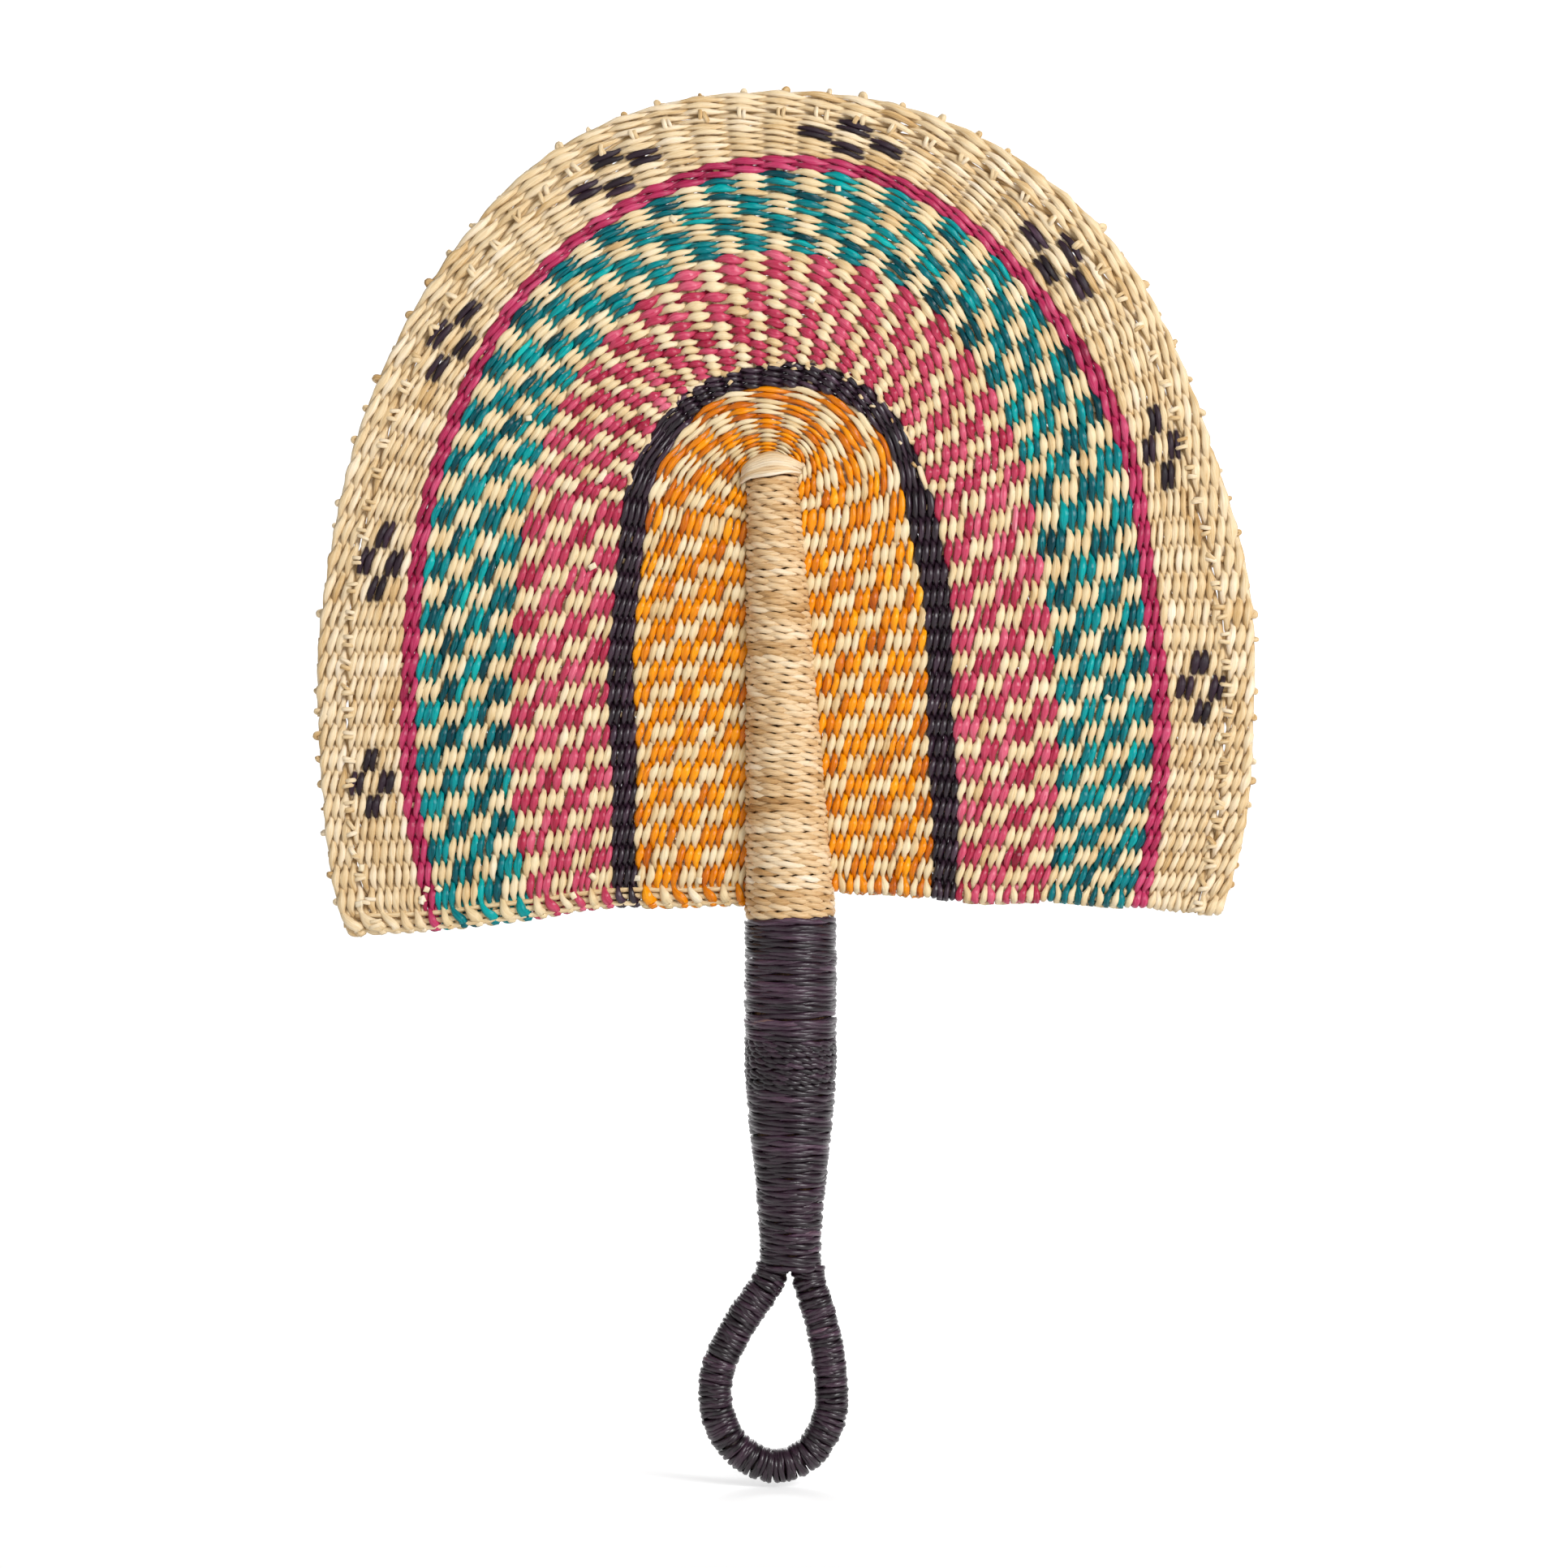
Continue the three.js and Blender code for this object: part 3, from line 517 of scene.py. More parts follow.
def twinedStrand(name, which):
    band = bands[name]
    slots, rows = band["slots"], band["rows"]
    stakes = len(slots)
    perRow, perFold = stakes * weave["steps"], weave["foldSteps"]
    steps = rows * perRow + (rows - 1) * perFold
    at = np.linspace(0, steps, ringCount(steps))
    row = np.minimum(at // (perRow + perFold), rows - 1)
    within = at - row * (perRow + perFold)
    fold = np.clip((within - perRow) / perFold, 0, 1)
    run = np.clip(within / perRow, 0, 1) * stakes - 0.5
    leftward = row % 2 == 0
    stake = np.where(leftward, stakes - 1 - run, run)
    nearest = np.clip(np.rint(stake), 0, stakes - 1)
    rowIndex, stakeIndex = row.astype(int), nearest.astype(int)
    swap = (row // weave["rowsPerBlock"]) % 2
    swapNext = ((row + 1) // weave["rowsPerBlock"]) % 2
    turn = math.pi * (stake + swap + which)
    turnNext = math.pi * (stake + swapNext + which)
    front = np.cos(turn)
    cover = front**2

    # At the left hem one slanting stitch holds each pair of rows; at the right one each row has its own
    leftShare = np.clip(0.5 - stake, 0, 1)
    atRight = stake > stakes - 1.5
    slants = ~leftward & ((row // 2 + which) % 2 == 0)
    front = np.where(leftShare > 0, np.abs(front) * np.where(slants, 1, -1), front)
    front = np.where(atRight, np.abs(front) * np.where((row + which) % 2 == 0, 1, -1), front)
    slide = weave["slide"] * smoothStep(leftShare) * slants
    past = np.maximum(-stake, 0) + np.maximum(stake - stakes + 1, 0)
    hem = smoothStep(past * 2)
    swing = weave["swing"] * (1 - smoothStep(weave["hemTaper"] * (stake - stakes + 1.5))) * (1 - hem)

    loose = chance.normal(0, weave["loose"], (rows, stakes))[rowIndex, stakeIndex]
    fuller = np.clip(chance.normal(1, weave["uneven"], (rows, stakes)), *weave["sizes"])[rowIndex, stakeIndex]
    rowAt = row + 0.5 - swing * np.sin(turn) + loose * cover - slide
    nextSlide = weave["slide"] * (leftShare >= 1) * (((row + 1) // 2 + which) % 2 == 0)
    rowNext = row + 1.5 - swing * np.sin(turnNext) - nextSlide
    ease = (1 - np.cos(math.pi * fold)) / 2
    behind = np.where(nextSlide > 0, -weave["slantDepth"], 1)
    depth = weave["depth"] * np.where(fold > 0, -weave["foldDepth"] * behind * np.sin(math.pi * fold),
                                      front * (1 + weave["bulge"] * (1 - cover)))
    foldReach = np.where(stake < 0, weave["foldReach"], weave["hiddenFold"])
    reach = past * weave["hemReach"] + foldReach * np.sin(math.pi * fold)
    stake = np.clip(stake, 0, stakes - 1) + np.where(stake < stakes / 2, -1, 1) * reach
    slot = np.interp(stake, np.arange(-1, stakes + 1), [slots[0] - 1, *slots, slots[-1] + 1])
    centre = bladePoint(slot, rowOut(name, mix(rowAt, rowNext, ease)), -depth)
    inner, outer = (bladePoint(slot, rowOut(name, row + share)) for share in (0.25, 0.75))
    pitch = 2 * np.linalg.norm(outer - inner, axis=1)
    lens = mix(mix(weave["pinch"], 1, cover), 1.0, hem) * mix(1, weave["slantSize"], slants * leftShare)
    lengths = stakes // weave["strawLength"] + 2
    lengthTone = chance.uniform(-1, 1, (rows, lengths)) * band["toneSpread"][which]
    length = (stakeIndex + weave["lengthShift"] * rowIndex) // weave["strawLength"] % lengths
    stitchTone = chance.normal(0, weave["stitchTone"], (rows, stakes))
    strand = {"centre": centre, "facing": towardsFront,
              "tone": 0.5 + lengthTone[rowIndex, length] + stitchTone[rowIndex, stakeIndex],
              "half": pitch * weave["fullness"] * lens * mix(1, fuller, cover),
              "thick": weave["halfThickness"] * mix(weave["thinShare"], 1, cover)}
    if name == "rim":
        inked = np.zeros((rows, stakes))
        for slotAt in rim["diamondSlots"]:
            for stitchRow, step in rim["diamond"]:
                inked[stitchRow, slotAt + step] = 1
        strand["dye"] = inked[rowIndex, stakeIndex] * (front > 0)
    return strand


wefts = [  # piece, band, which of its two strands, material, slot
    ("orange_weft", "orange", 0, "orangeStraw", "orange_straw"),
    ("orange_ground_weft", "orange", 1, "naturalGroundStraw", "natural_straw"),
    ("black_weft", "black", None, "blackStraw", "black_straw"),
    ("pink_weft", "pink", 0, "pinkStraw", "pink_straw"),
    ("pink_ground_weft", "pink", 1, "naturalGroundStraw", "natural_straw"),
    ("teal_weft", "teal", 0, "tealStraw", "teal_straw"),
    ("teal_ground_weft", "teal", 1, "naturalGroundStraw", "natural_straw"),
    ("magenta_weft", "magenta", None, "magentaStraw", "magenta_straw"),
    ("rim_front_weft", "rim", 0, "naturalRimStraw", "natural_straw"),
    ("rim_back_weft", "rim", 1, "naturalRimStraw", "natural_straw"),
]
for pieceName, bandName, only, material, slotName in wefts:
    strands = [twinedStrand(bandName, which) for which in ((0, 1) if only is None else (only,))]
    strandPiece(pieceName, strands, weave["sides"], material, [bandName + "_band"])
print("blade twined")

# Straws of the blade
straw = {
    "halfWidth": 0.9, "sizes": (0.92, 1.05), "sides": 8, "step": 5.0, "linePoints": 24, "wander": 0.1,
    "tones": (0.25, 0.6), "endSize": 0.9, "fewestSteps": 4, "seatDepth": 5, "stub": 0.3,
    # An added straw's fold: slots from its upper straw, and shares of the depth
    "fold": [(-0.45, 0.4), (-0.2, 0.95), (0.0, 1.1), (0.2, 0.95), (0.45, 0.4)],
    "foldDepth": 2.5, "foldRow": -0.25,
    # The left hem's bottom straws, side by side with the lowest straw
    "hemSlots": (-0.33, 0.34), "hemSpan": (0.01, 0.97), "hemPoints": 40, "hemHalfWidth": 0.8,
}


def strawStrand(points, half=straw["halfWidth"]):
    points = np.array(points, float)
    rings = ringCount(max(lineLength(points) / straw["step"], straw["fewestSteps"]))
    centre = evenPoints(points, rings)
    centre[1:-1] += chance.normal(0, straw["wander"], (rings - 2, 3))
    size = chance.uniform(*straw["sizes"])
    return {"centre": centre, "facing": towardsFront, "half": half * size, "thick": half * size,
            "tone": chance.uniform(*straw["tones"]), "endSize": straw["endSize"]}


# Points along a slot, from a share of the way out to just past the edge
def slotLine(slot, start):
    stub = straw["stub"] / np.linalg.norm(edgePoint(slot) - neckPoint(slot))
    return bladePoint(float(slot), np.linspace(start, 1 + stub, straw["linePoints"]))


def crossStraw(index):
    return strawStrand(np.vstack([slotLine(index, 0.0)[::-1], slotLine(slotCount - 1 - index, 0.0)]))


def upperStraw(slot):
    line = slotLine(slot, 0.0)
    return strawStrand(np.vstack([line[:1] - unit(line[1:2] - line[:1]) * straw["seatDepth"], line]))


# A straw folded in two in front of an upper straw, where the black stripe ends
def addedStraw(slot):
    place = rowOut("pink", straw["foldRow"])
    fold = [bladePoint(slot + step, place, -depth * straw["foldDepth"]) for step, depth in straw["fold"]]
    return strawStrand(np.vstack([slotLine(slot - 1, place)[::-1], fold, slotLine(slot + 1, place)]))


def hemStraw(slot):
    line = bladePoint(slot, np.linspace(*straw["hemSpan"], straw["hemPoints"]))
    return strawStrand(line, straw["hemHalfWidth"])


# Straws of one kind, in place of as many CAD nodes
def strawPiece(kind, count, strands):
    nodes = [f"{kind}_straw_{i + 1:02d}" for i in range(count)]
    strandPiece(kind + "_straws", strands, straw["sides"], "naturalRimStraw", replaced=nodes)


crossing = [crossStraw(i) for i in crossSlots] + [hemStraw(slot) for slot in straw["hemSlots"]]
strawPiece("cross", fan["crossStraws"], crossing)
strawPiece("upper", fan["upperStraws"], [upperStraw(slot) for slot in upperSlots])
strawPiece("added", fan["upperStraws"], [addedStraw(slot) for slot in upperSlots])
print("straws made")


# A slow random wave along a line, of several rates
def slowNoise(at, spread, fastest=0.9, slowest=0.13, rates=7):
    waves = [(chance.uniform(slowest, fastest), chance.uniform(0, 2 * math.pi)) for _ in range(rates)]
    total = sum(np.sin(2 * math.pi * rate * at + phase) for rate, phase in waves)
    return spread * total / math.sqrt(rates / 2)


# Knots, folds, flecks and other short ends of straw
trim = {"sides": 6, "perPoint": 3, "endSize": 0.75}


# A short bent end through points in millimetres
def curl(points, half, thick, facing, tone):
    curve = smoothCurve(points, trim["perPoint"])
    return {"centre": evenPoints(curve, ringCount(len(curve) - 1)), "facing": facing, "half": half,
            "thick": thick, "tone": tone, "endSize": trim["endSize"]}


# A direction swung from one way towards another
def swung(first, second, angle):
    return first * math.cos(angle) + second * math.sin(angle)


# The straws' ends: small folded knots beyond the rim's first rows, and stubs turned in over the last row.
# A line is in shares of the length and the depth, or of the spread and the reach
knots = {
    "sides": (-1, -1, 1),  # two in front and one behind for each slot
    "halfWidth": 0.7, "halfThickness": 0.55, "apart": 1.56, "length": 1.85, "depth": 2.2,
    "sizes": (0.8, 1.15), "widths": (0.85, 1.2), "tones": (0.3, 0.7),
    "slotLoose": 0.05, "loose": 0.15, "uneven": 0.3, "spin": 0.2,
    "askewShare": 0.1, "askew": (0.5, 1.1),
    "line": [(1.0, -0.05), (0.8, 0.6), (0.4, 1.0), (-0.4, 1.02), (-0.8, 0.65), (-1.0, -0.1)],
}
stubs = {
    "share": 0.75,  # of the slots that have one
    "halfWidth": 0.9, "halfThickness": 0.76, "reach": 1.0, "spread": 0.6,
    "sizes": (0.6, 1.15), "tones": (0.15, 0.65), "slotLoose": 0.06, "roll": 1.2, "lean": 0.3,
    "line": [(-0.9, -1.6), (-1.0, -0.2), (-0.6, 0.75), (0.2, 1.0), (0.9, 0.6), (1.0, -0.5), (0.7, -1.5)],
}


# A place on the blade, the way outwards there, and the way along the rows
def localAxes(slot, out, step=0.01):
    here = bladePoint(slot, out)
    outward = unit(bladePoint(slot, out + step) - here)
    return here, outward, np.array([outward[2], 0.0, -outward[0]])


def knotStrands(slot):
    made = []
    place = rowOut("rim", rim["knotRow"])
    for index, side in enumerate(knots["sides"]):
        here, outward, sideways = localAxes(slot + chance.normal(0, knots["slotLoose"]), place)
        straight = chance.random() < 1 - knots["askewShare"]
        spin = chance.normal(0, knots["spin"]) if straight else chance.uniform(*knots["askew"])
        along = swung(outward, sideways, spin)
        shift = knots["apart"] * (-0.5 if index % 2 else 0.5) + chance.normal(0, knots["loose"])
        middle = here + sideways * shift + outward * chance.normal(0, knots["uneven"])
        length = knots["length"] * chance.uniform(*knots["sizes"])
        facing = towardsBack * side
        points = [middle + along * length * reach + facing * depth * knots["depth"]
                  for reach, depth in knots["line"]]
        half = knots["halfWidth"] * chance.uniform(*knots["widths"])
        made.append(curl(points, half, knots["halfThickness"], facing, chance.uniform(*knots["tones"])))
    return made


def stubStrand(slot):
    here, outward, sideways = localAxes(slot + chance.normal(0, stubs["slotLoose"]), 1.0)
    over = swung(sideways, towardsBack, chance.uniform(-stubs["roll"], stubs["roll"]))
    size = chance.uniform(*stubs["sizes"])
    lean = chance.normal(0, stubs["lean"])
    points = [here + size * (outward * reach * stubs["reach"] + over * turn * stubs["spread"]
                             + sideways * lean * (reach + 1))
              for turn, reach in stubs["line"]]
    return curl(points, stubs["halfWidth"] * size, stubs["halfThickness"] * size, np.cross(outward, over),
                chance.uniform(*stubs["tones"]))


# A straw laid along behind the knots
binding = {"halfWidth": 0.62, "halfThickness": 0.5, "depth": 0.9, "sway": 0.35, "rise": 0.2, "tone": 0.4,
           "overhang": 0.4, "ringsPerSlot": 6}


def bindingStrand():
    first, last = -binding["overhang"], slotCount - 1 + binding["overhang"]
    slots = np.linspace(first, last, ringCount(binding["ringsPerSlot"] * slotCount))
    place = rowOut("rim", rim["knotRow"]) + slowNoise(slots, binding["sway"]) / bandTotal
    centre = bladePoint(slots, place, binding["depth"] + slowNoise(slots, binding["rise"]))
    return {"centre": centre, "facing": towardsFront, "half": binding["halfWidth"],
            "thick": binding["halfThickness"], "tone": binding["tone"]}


tied = [knot for slot in outerSlots for knot in knotStrands(slot)]
strandPiece("rim_knots", tied, trim["sides"], "naturalRimStraw")
strandPiece("rim_binding", [bindingStrand()], trim["sides"], "naturalRimStraw")
folded = [stubStrand(slot) for slot in outerSlots if chance.random() < stubs["share"]]
strandPiece("edge_folds", folded, trim["sides"], "naturalRimStraw")

# Ends of straw, cut off square where a new length was worked in: many at the left hem, a few elsewhere
cutEnds = {
    "halfWidth": 0.95, "halfThickness": 0.24, "length": 2.0, "depth": 2.2, "rings": 4,
    "lift": (0.1, 0.5), "sizes": (0.7, 1.2), "tones": (0.6, 0.85),
    "hem": 9, "hemSlots": (0.2, 1.4), "hemOut": (0.05, 0.97),
    "elsewhere": 10, "slots": (2, slotCount - 3), "out": (0.3, 0.95),
}


def cutEnd(slot, out, side):
    here, outward, sideways = localAxes(slot, out)
    spin = chance.uniform(0, math.pi)
    facing = towardsBack * side
    along = unit(swung(outward, sideways, spin) + facing * chance.uniform(*cutEnds["lift"]))
    length = cutEnds["length"] * chance.uniform(*cutEnds["sizes"])
    shares = np.linspace(-0.5, 0.5, cutEnds["rings"])[:, None]
    return {"centre": here + facing * cutEnds["depth"] + along * length * shares, "facing": facing,
            "half": cutEnds["halfWidth"], "thick": cutEnds["halfThickness"],
            "tone": chance.uniform(*cutEnds["tones"]), "endSize": 1.0}


hemEnds = [cutEnd(chance.uniform(*cutEnds["hemSlots"]), chance.uniform(*cutEnds["hemOut"]), -1)
           for _ in range(cutEnds["hem"])]
otherEnds = [cutEnd(chance.uniform(*cutEnds["slots"]), chance.uniform(*cutEnds["out"]),
                    chance.choice((-1, 1)))
             for _ in range(cutEnds["elsewhere"])]
strandPiece("cut_ends", hemEnds + otherEnds, trim["sides"], "naturalGroundStraw")
print("rim finished")

# How evenly a cord is made and wound: its drift along the lay, the rise of its turns, the tones of its turns
# and stitches, the sway of its plies, and the rate of their fastest wave
winding = {"drift": 0.15, "rise": 0.1, "turnTone": 0.18, "stitchTone": 0.09, "sway": 1.15, "fastest": 2.3,
           "grainTwist": 0.3, "plies": 2}


# Wound cord: plies turn round the cord's own middle while it winds up the core
def windCord(cord, frameAt):
    turns = cord["turns"]
    at = np.linspace(0, turns, ringCount(turns * cord["steps"]))
    middle, along, across, radius = frameAt(at / turns)
    angle = cord["startAngle"] + 2 * math.pi * at
    outward = across * np.cos(angle)[:, None] + towardsBack * np.sin(angle)[:, None]
    wobble = slowNoise(at, cord["wobble"])
    drift = slowNoise(at, winding["drift"])
    lift = np.abs(slowNoise(at, winding["rise"]))
    lay = np.interp(at / turns, *zip(*cord["lay"]))
    twisted = -np.cumsum(2 * math.pi * radius / lay) * (at[1] - at[0]) + drift
    tones = chance.uniform(-winding["turnTone"], winding["turnTone"], turns + 1)
    turnTone = np.interp(at, np.arange(turns + 1), tones)
    made = []
    for ply in range(winding["plies"]):
        phase = twisted + ply / winding["plies"]
        twist = 2 * math.pi * phase
        front = (np.cos(twist) + 1) / 2
        inward = cord["spread"] * (1 - np.cos(twist)) + cord["halfThickness"] - lift
        sideways = (winding["sway"] * cord["spread"] * np.sin(twist) + wobble
                    + slowNoise(at, cord["plyWobble"], winding["fastest"]))
        stitch = np.floor(phase + 0.5).astype(int)
        stitch -= stitch.min()
        stitchTone = chance.normal(0, winding["stitchTone"], stitch.max() + 1)[stitch]
        made.append({"centre": middle + outward * (radius - inward)[:, None] + along * sideways[:, None],
                     "facing": outward, "tone": 0.5 + turnTone + stitchTone, "twist": winding["grainTwist"],
                     "half": cord["halfWidth"] * mix(cord["pinch"], 1.0, front),
                     "thick": cord["halfThickness"]})
    return made


# The neck is drawn in below the hood, and the grip's last turns close round the loop's legs
drawnIn = {"hood": 0.2, "hoodReach": 14, "legs": 1.2, "legsReach": 2, "legsStart": 0.5}


def handleFrame(low, high):
    def frameAt(share):
        z = mix(low, high, share)
        middle = np.stack([handleShift(z), np.zeros(len(z)), z], -1)
        up = np.broadcast_to(np.array([0.0, 0.0, 1.0]), middle.shape)
        side = np.broadcast_to(np.array([1.0, 0.0, 0.0]), middle.shape)
        hoodShare = smoothStep((z - tipHeight) / drawnIn["hoodReach"] + 1)
        legsShare = smoothStep((drawnIn["legsStart"] - gripTop - z) / drawnIn["legsReach"])
        drawn = drawnIn["hood"] * hoodShare + drawnIn["legs"] * legsShare
        return middle, up, side, handleRadius(z) - drawn
    return frameAt


# lay gives the length in which a cord's two plies turn round each other once, at shares of the winding
neckCord = {
    "turns": 62, "steps": 56, "lay": [(0, 13.0), (1, 13.0)], "startAngle": math.pi,
    "wobble": 0.06, "plyWobble": 0.06, "spread": 0.46, "halfWidth": 1.0, "pinch": 0.66, "halfThickness": 0.76,
    "low": gripTop + 0.6, "high": tipHeight + 0.6,
}
gripCord = {
    "turns": 64, "steps": 56, "startAngle": 0.0,
    "lay": [(0, 22), (0.5, 26), (0.53, 7.5), (0.65, 7.5), (0.68, 30), (1, 26)],
    "wobble": 0.17, "plyWobble": 0.2, "spread": 0.36, "halfWidth": 0.9, "pinch": 0.72, "halfThickness": 0.7,
    "low": -gripTop - 1.2, "high": gripTop - 0.7,
}
loopCord = {
    "turns": 96, "steps": 24, "lay": [(0, 20), (1, 22)], "startAngle": 0.0,
    "wobble": 0.15, "plyWobble": 0.16, "spread": 0.3, "halfWidth": 0.84, "pinch": 0.74, "halfThickness": 0.64,
}
cordSides = 6

neckStrands = windCord(neckCord, handleFrame(neckCord["low"], neckCord["high"]))
strandPiece("neck_cord", neckStrands, cordSides, "neckCordStraw", replaced=["neck_wrap"])
gripStrands = windCord(gripCord, handleFrame(gripCord["low"], gripCord["high"]))
strandPiece("grip_cord", gripStrands, cordSides, "blackStraw", ["grip_wrap"])

# The loop's line, from the left leg down and round to the right one. Each leg starts with its place beside
# the handle's axis and how far it is below the grip, then come shares of half the width and of the drop
loop = {
    "leftTop": [(-5.1, -0.6), (-5.865, 3.0)], "rightTop": [(5.1, -0.6), (5.1, 3.0)],
    "leftShares": [(0.85, 0.3), (1.12, 0.52), (1.04, 0.73), (0.66, 0.91)],
    "rightShares": [(0.6, 0.28), (0.86, 0.53), (0.94, 0.75), (0.6, 0.94)],
    "startRadius": 5.0, "radius": 5.1, "startReach": 9, "perPoint": 30, "knotPower": 0.5,
}


def makeLoopCurve():
    def place(side, x, drop):
        lean = fan["loopLean"] * float(smoothStep(drop))
        return [side * x * fan["loopWidth"] / 2 - lean, 0.0, -gripTop - drop * fan["loopDrop"]]

    def leg(side, top, shares):
        return [[x, 0.0, -gripTop - below] for x, below in top] + [place(side, *share) for share in shares]

    left = leg(-1, loop["leftTop"], loop["leftShares"])
    right = leg(1, loop["rightTop"], loop["rightShares"])
    return smoothCurve([*left, place(0, 0, 1), *reversed(right)], loop["perPoint"], loop["knotPower"])


loopCurve = makeLoopCurve()


def loopFrame(share):
    length = lineLength(loopCurve)
    middle = alongLine(loopCurve, share * length)
    along = unit(np.gradient(middle, axis=0))
    across = unit(np.cross(along, towardsBack))
    fromEnd = np.minimum(share, 1 - share) * length
    radius = mix(loop["startRadius"], loop["radius"], smoothStep(fromEnd / loop["startReach"]))
    return middle, along, across, radius


loopStrands = windCord(loopCord, loopFrame)
strandPiece("loop_cord", loopStrands, cordSides, "blackStraw", ["loop_wrap"])

# The hood: plain strands laid over the tip of the neck, front and back, drawn together at the left.
# Places are x and z from the tip's middle, for the lowest strand, and the step to each next one. Between
# them a strand passes two more places, at a share of the way and a little off it
hood = {
    "strands": 8, "dome": 9.2, "depth": 7.9, "halfWidth": 0.56, "halfThickness": 0.6, "clear": 0.3,
    "start": (-9.2, -1.7), "startStep": (0.08, 0.58), "crest": (-0.8, 0.6), "crestStep": (0.05, 0.86),
    "end": (7.6, 0.9), "endStep": (0.16, 0.38),
    "rising": (0.36, (-0.3, 0.75)), "falling": (0.55, (0.2, 0.55)),
    "lifts": (0.3, 0.72, 1.0, 0.86, 0.34),  # how far out on the dome the five places are
    "leastDome": 0.08, "facing": (0.5, 1.0, 0.7),
    # the sunk under layer's tone is lowered by its depth: painted shade
    "crestLoose": 0.12, "endLoose": 0.35, "sunk": 0.6, "tone": 0.7, "sunkPaintedShade": 0.5, "toneSpread": 0.1,
    "startTaper": 0.22, "endTaper": 0.3, "endSize": 0.45, "perPoint": 9, "rings": 30, "sides": 8,
}


# Strands of the under layer lie half a step further and a little deeper, with their tone darkened as painted
# shade
def hoodStrand(index, side, sunk=0.0):
    start, crest, end = (np.array(hood[key]) + index * np.array(hood[key + "Step"])
                         for key in ("start", "crest", "end"))
    crest = crest + chance.normal(0, hood["crestLoose"], 2)
    end = end + chance.normal(0, hood["endLoose"], 2)
    risingShare, risingOff = hood["rising"]
    fallingShare, fallingOff = hood["falling"]
    places = [start, mix(start, crest, risingShare) + risingOff, crest,
              mix(crest, end, fallingShare) + fallingOff, end]
    line = []
    for (x, z), lift in zip(places, hood["lifts"]):
        domed = hood["depth"] * math.sqrt(max(1 - (z / hood["dome"]) ** 2, hood["leastDome"]))
        line.append((x - fan["neckLean"], side * (domed * lift + hood["clear"] - sunk), z + tipHeight))
    centre = evenPoints(smoothCurve(line, hood["perPoint"]), ringCount(hood["rings"]))
    along = np.linspace(0, 1, len(centre))
    ends = smoothStep(along / hood["startTaper"]) * smoothStep((1 - along) / hood["endTaper"])
    outward = (centre - np.array([-fan["neckLean"], 0.0, tipHeight])) * hood["facing"]
    # a sunk strand gets a darker tone, painted shade for lying deeper
    return {"centre": centre, "facing": unit(outward),
            "half": hood["halfWidth"] * mix(hood["endSize"], 1, ends), "thick": hood["halfThickness"],
            "tone": hood["tone"] - hood["sunkPaintedShade"] * sunk + chance.normal(0, hood["toneSpread"])}


topLayer = [hoodStrand(i, side) for side in (-1, 1) for i in range(hood["strands"])]
underLayer = [hoodStrand(i + 0.5, side, hood["sunk"]) for side in (-1, 1) for i in range(hood["strands"])]
strandPiece("tip_hood", topLayer + underLayer, hood["sides"], "neckCordStraw")

# Over the top of the black arch, tips of the added straws show between its stitches
flecks = {
    "count": 14, "first": 24, "last": 52,
    "power": 0.8,  # below 1, so that more of them lie on the right
    "rows": (2, 3, 4), "uneven": 0.12, "spin": 0.7,
    "halfWidth": 0.42, "halfThickness": 0.32, "length": 0.75, "depth": 2.0,
    "sizes": (0.7, 1.3), "tones": (0.2, 0.7),
    "line": [(-1.0, 0.4), (-0.6, 0.9), (0.0, 1.08), (0.6, 0.95), (1.0, 0.45)],
}


def fleck():
    slot = mix(flecks["first"], flecks["last"], chance.random() ** flecks["power"])
    row = chance.choice(flecks["rows"]) + chance.normal(0, flecks["uneven"])
    here, outward, sideways = localAxes(slot, rowOut("black", row))
    along = swung(sideways, outward, chance.uniform(-flecks["spin"], flecks["spin"]))
    size = chance.uniform(*flecks["sizes"])
    points = [here + along * flecks["length"] * size * reach + towardsFront * (depth * flecks["depth"])
              for reach, depth in flecks["line"]]
    return curl(points, flecks["halfWidth"] * size, flecks["halfThickness"], towardsFront,
                chance.uniform(*flecks["tones"]))


strandPiece("arch_flecks", [fleck() for _ in range(flecks["count"])], trim["sides"], "naturalRimStraw")
print("windings made")

# The bundles inside keep their CAD shapes; Object coordinates carry their grain, in metres
coreGrain = {"scale": (1500, 1500, 60), "detail": 3.0, "bump": 0.6, "creaseDepth": 0.0004, "roughness": 0.65,
             "ior": 1.46}


def coreMaterial(name, stops):
    material = bpy.data.materials.new(name)
    tree = emptyTree(material)
    where = addNode(tree, "TexCoord").outputs["Object"]
    spread = addNode(tree, "Mapping", {"Vector": where, "Scale": coreGrain["scale"]})
    lines = addNode(tree, "TexNoise", {
        "Vector": spread.outputs[0], "Scale": 1.0, "Detail": coreGrain["detail"]})
    ramp = addNode(tree, "ValToRGB", {"Fac": lines.outputs[0]})
    fillRamp(ramp.color_ramp, stops)
    bump = addNode(tree, "Bump", {"Height": lines.outputs[0], "Strength": coreGrain["bump"],
                                  "Distance": coreGrain["creaseDepth"]})
    shader = addNode(tree, "BsdfPrincipled", {
        "Base Color": ramp.outputs[0], "Roughness": coreGrain["roughness"], "Normal": bump.outputs[0],
        "IOR": coreGrain["ior"]})
    addNode(tree, "OutputMaterial", {"Surface": shader.outputs[0]})
    return material


coreLooks = {
    "handle_core": coreMaterial("strawBundle", [(0.3, "#4A3320"), (0.5, "#7A5836"), (0.7, "#A07A4E")]),
    "loop_core": coreMaterial("dyedStrawBundle", [(0.3, "#140C0E"), (0.5, "#2A1C1C"), (0.7, "#49352A")]),
}
for name, look in coreLooks.items():
    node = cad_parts[name]
    node.data.materials.clear()
    node.data.materials.append(look)
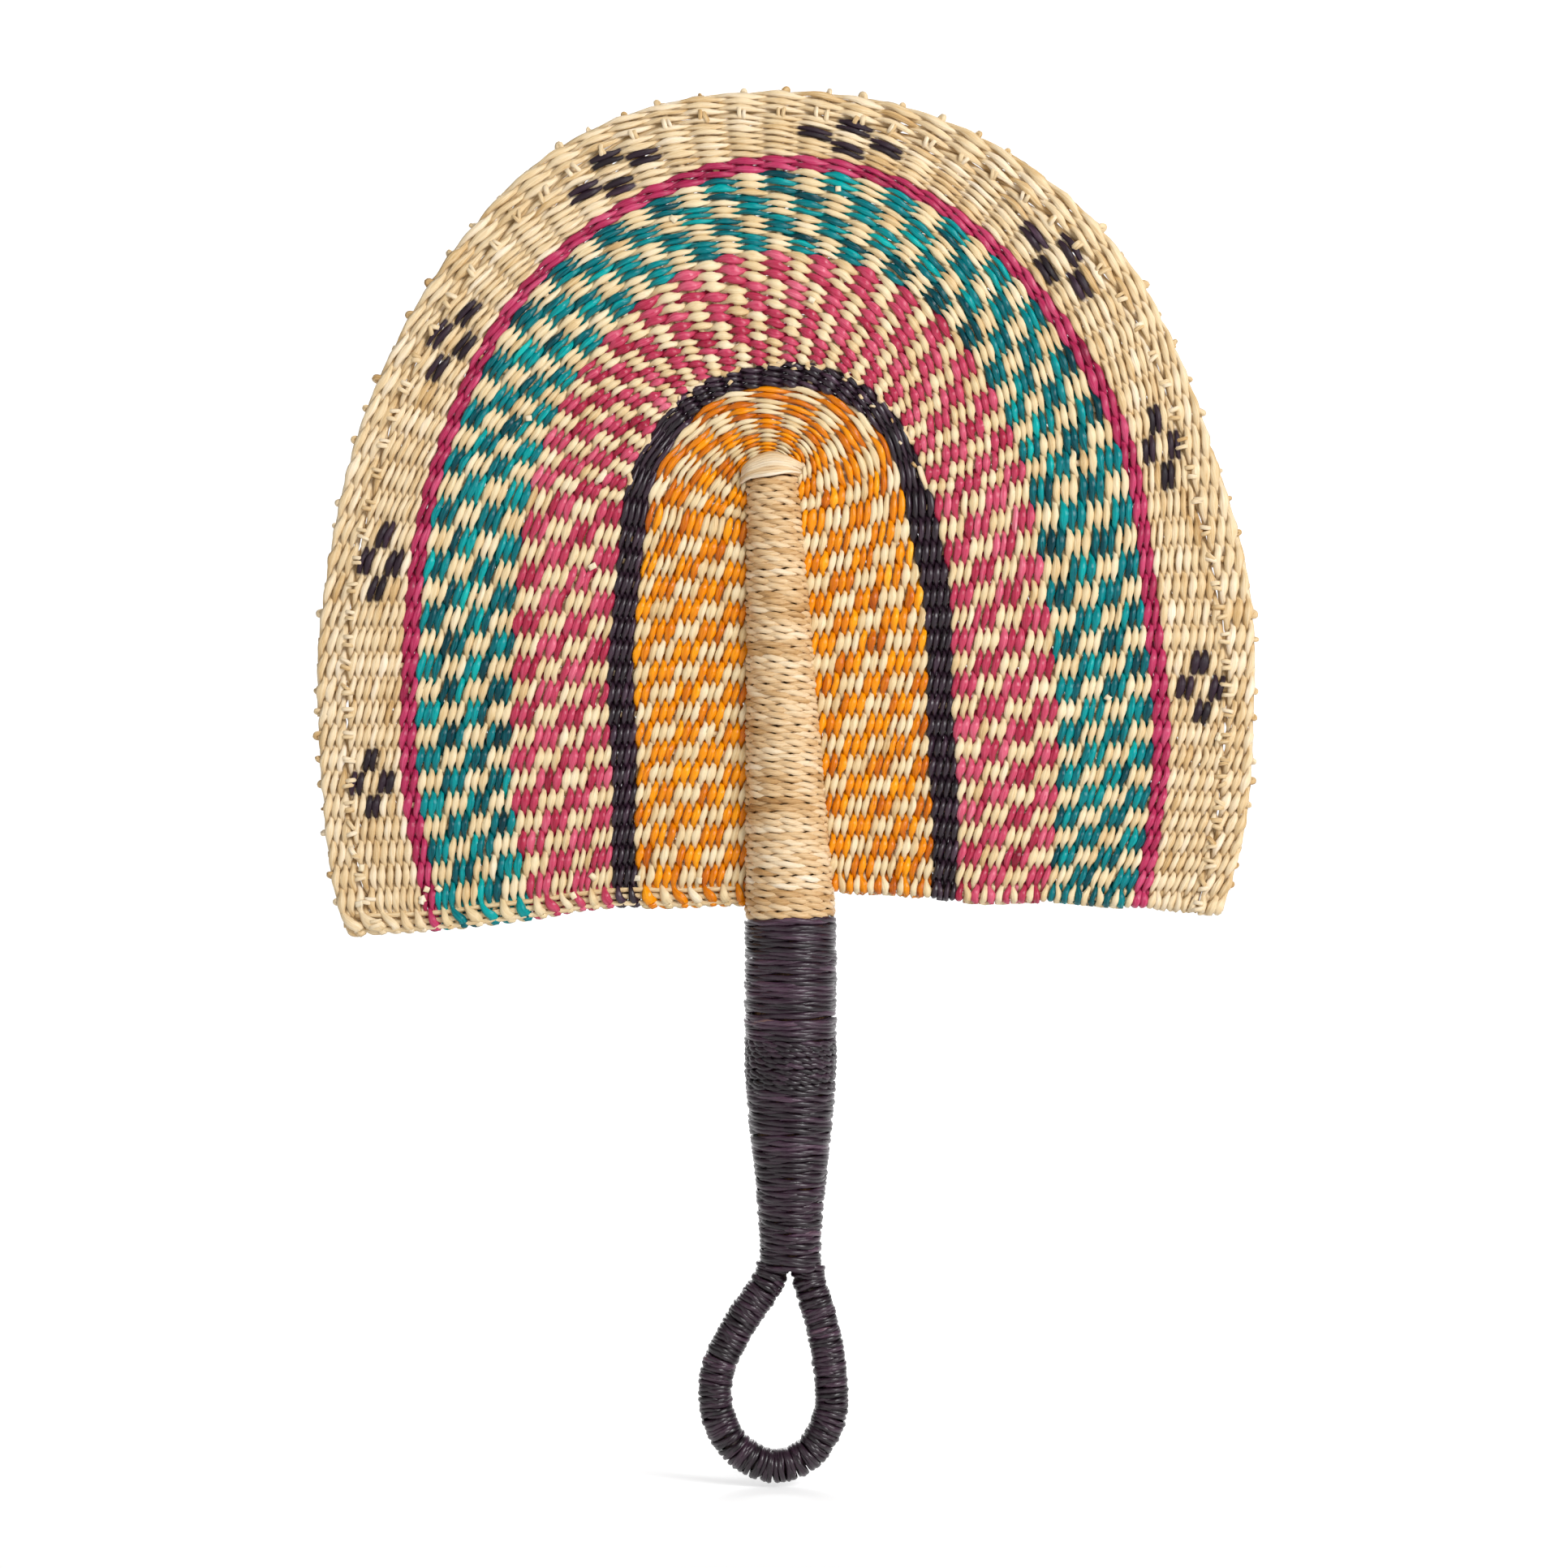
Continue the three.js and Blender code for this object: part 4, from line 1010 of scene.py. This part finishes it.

# Camera at the photograph's place
camera = {"lens": 100, "sensor": 36, "place": (-0.0019, -1.261, 0.0891)}
lens = bpy.data.cameras.new("camera")
lens.lens = camera["lens"]
lens.sensor_width = camera["sensor"]
eye = addObject("camera", lens)
eye.location = camera["place"]
eye.rotation_euler = (math.pi / 2, 0, 0)
scene.camera = eye

# Soft studio light at a plain level: a pale sky and large lamps, the strongest from the right
studio = {
    "sky": 0.3, "aim": (0, 0, 0.12),
    "lamps": [("keyLamp", (1.25, -1.55, 0.9), 1.0, 42.0), ("fillLamp", (-1.2, -1.3, 0.5), 1.2, 4.0),
              ("backLamp", (-0.1, 1.7, 1.0), 1.2, 20.0)],
}
scene.world = bpy.data.worlds.new("studio")
sky = emptyTree(scene.world)
plain = addNode(sky, "Background", {"Color": (1, 1, 1, 1), "Strength": studio["sky"]})
addNode(sky, "OutputWorld", {"Surface": plain.outputs[0]})

for lampName, place, size, power in studio["lamps"]:
    data = bpy.data.lights.new(lampName, "AREA")
    data.size = size
    data.energy = power
    lamp = addObject(lampName, data)
    lamp.location = place
    aim = Vector(studio["aim"]) - Vector(place)
    lamp.rotation_euler = aim.to_track_quat("-Z", "Y").to_euler()

# Floor and backdrop: one sweep of pale card. Where it is seen straight, in a reflection or through glass, it
# is lifted to white behind the fan, and less close to it, so that the shadow stays
sweep = {
    "reach": 6.0, "wall": 6.0, "bend": 2.0, "bendSteps": 16, "below": 0.001,
    "front": -0.6, "behind": 0.75, "lift": 0.9,
    "colour": (0.86, 0.86, 0.86, 1), "gritScale": 900.0, "gritBump": 0.05, "gritDepth": 0.0002,
}
bm = bmesh.new()
bmesh.ops.create_grid(bm, x_segments=2, y_segments=2, size=sweep["reach"])
farEdges = [e for e in bm.edges if min(v.co.y for v in e.verts) > sweep["reach"] - 0.01]
raised = bmesh.ops.extrude_edge_only(bm, edges=farEdges)["geom"]
wallTop = [v for v in raised if isinstance(v, bmesh.types.BMVert)]
bmesh.ops.translate(bm, verts=wallTop, vec=(0, 0, sweep["wall"]))
bmesh.ops.bevel(bm, geom=farEdges, affect="EDGES", offset=sweep["bend"], segments=sweep["bendSteps"],
                profile=0.5, material=-1)
bmesh.ops.recalc_face_normals(bm, faces=bm.faces)
bmesh.ops.translate(bm, verts=bm.verts, vec=(0, 0, cadBox[0].z - sweep["below"]))
floor = addObject("floor", meshFrom(bm, "floor"))
card = bpy.data.materials.new("paleCard")
tree = emptyTree(card)
where = addNode(tree, "TexCoord").outputs["Object"]
grit = addNode(tree, "TexNoise", {"Vector": where, "Scale": sweep["gritScale"]})
paper = addNode(tree, "Bump", {"Height": grit.outputs[0], "Strength": sweep["gritBump"],
                               "Distance": sweep["gritDepth"]})
diffuse = addNode(tree, "BsdfDiffuse", {"Color": sweep["colour"], "Normal": paper.outputs[0]})
away = addNode(tree, "SeparateXYZ", {0: where})
lift = addNode(tree, "MapRange", {
    "Value": away.outputs["Y"], "From Min": sweep["front"], "From Max": sweep["behind"],
    "To Min": 0.0, "To Max": sweep["lift"]}, interpolation_type="SMOOTHSTEP")
lit = addNode(tree, "Emission", {"Color": (1, 1, 1, 1), "Strength": lift.outputs[0]})
lifted = addNode(tree, "AddShader", {0: diffuse.outputs[0], 1: lit.outputs[0]})
path = addNode(tree, "LightPath").outputs
seen = addNode(tree, "Math", {0: path["Is Camera Ray"], 1: path["Is Glossy Ray"]}, operation="ADD")
seen = addNode(tree, "Math", {0: seen.outputs[0], 1: path["Is Transmission Ray"]},
               operation="ADD", use_clamp=True)
shown = addNode(tree, "MixShader", {0: seen.outputs[0], 1: diffuse.outputs[0], 2: lifted.outputs[0]})
addNode(tree, "OutputMaterial", {"Surface": shown.outputs[0]})
floor.data.materials.append(card)
scene.view_settings.view_transform = "Standard"
print("camera, lamps and floor set")
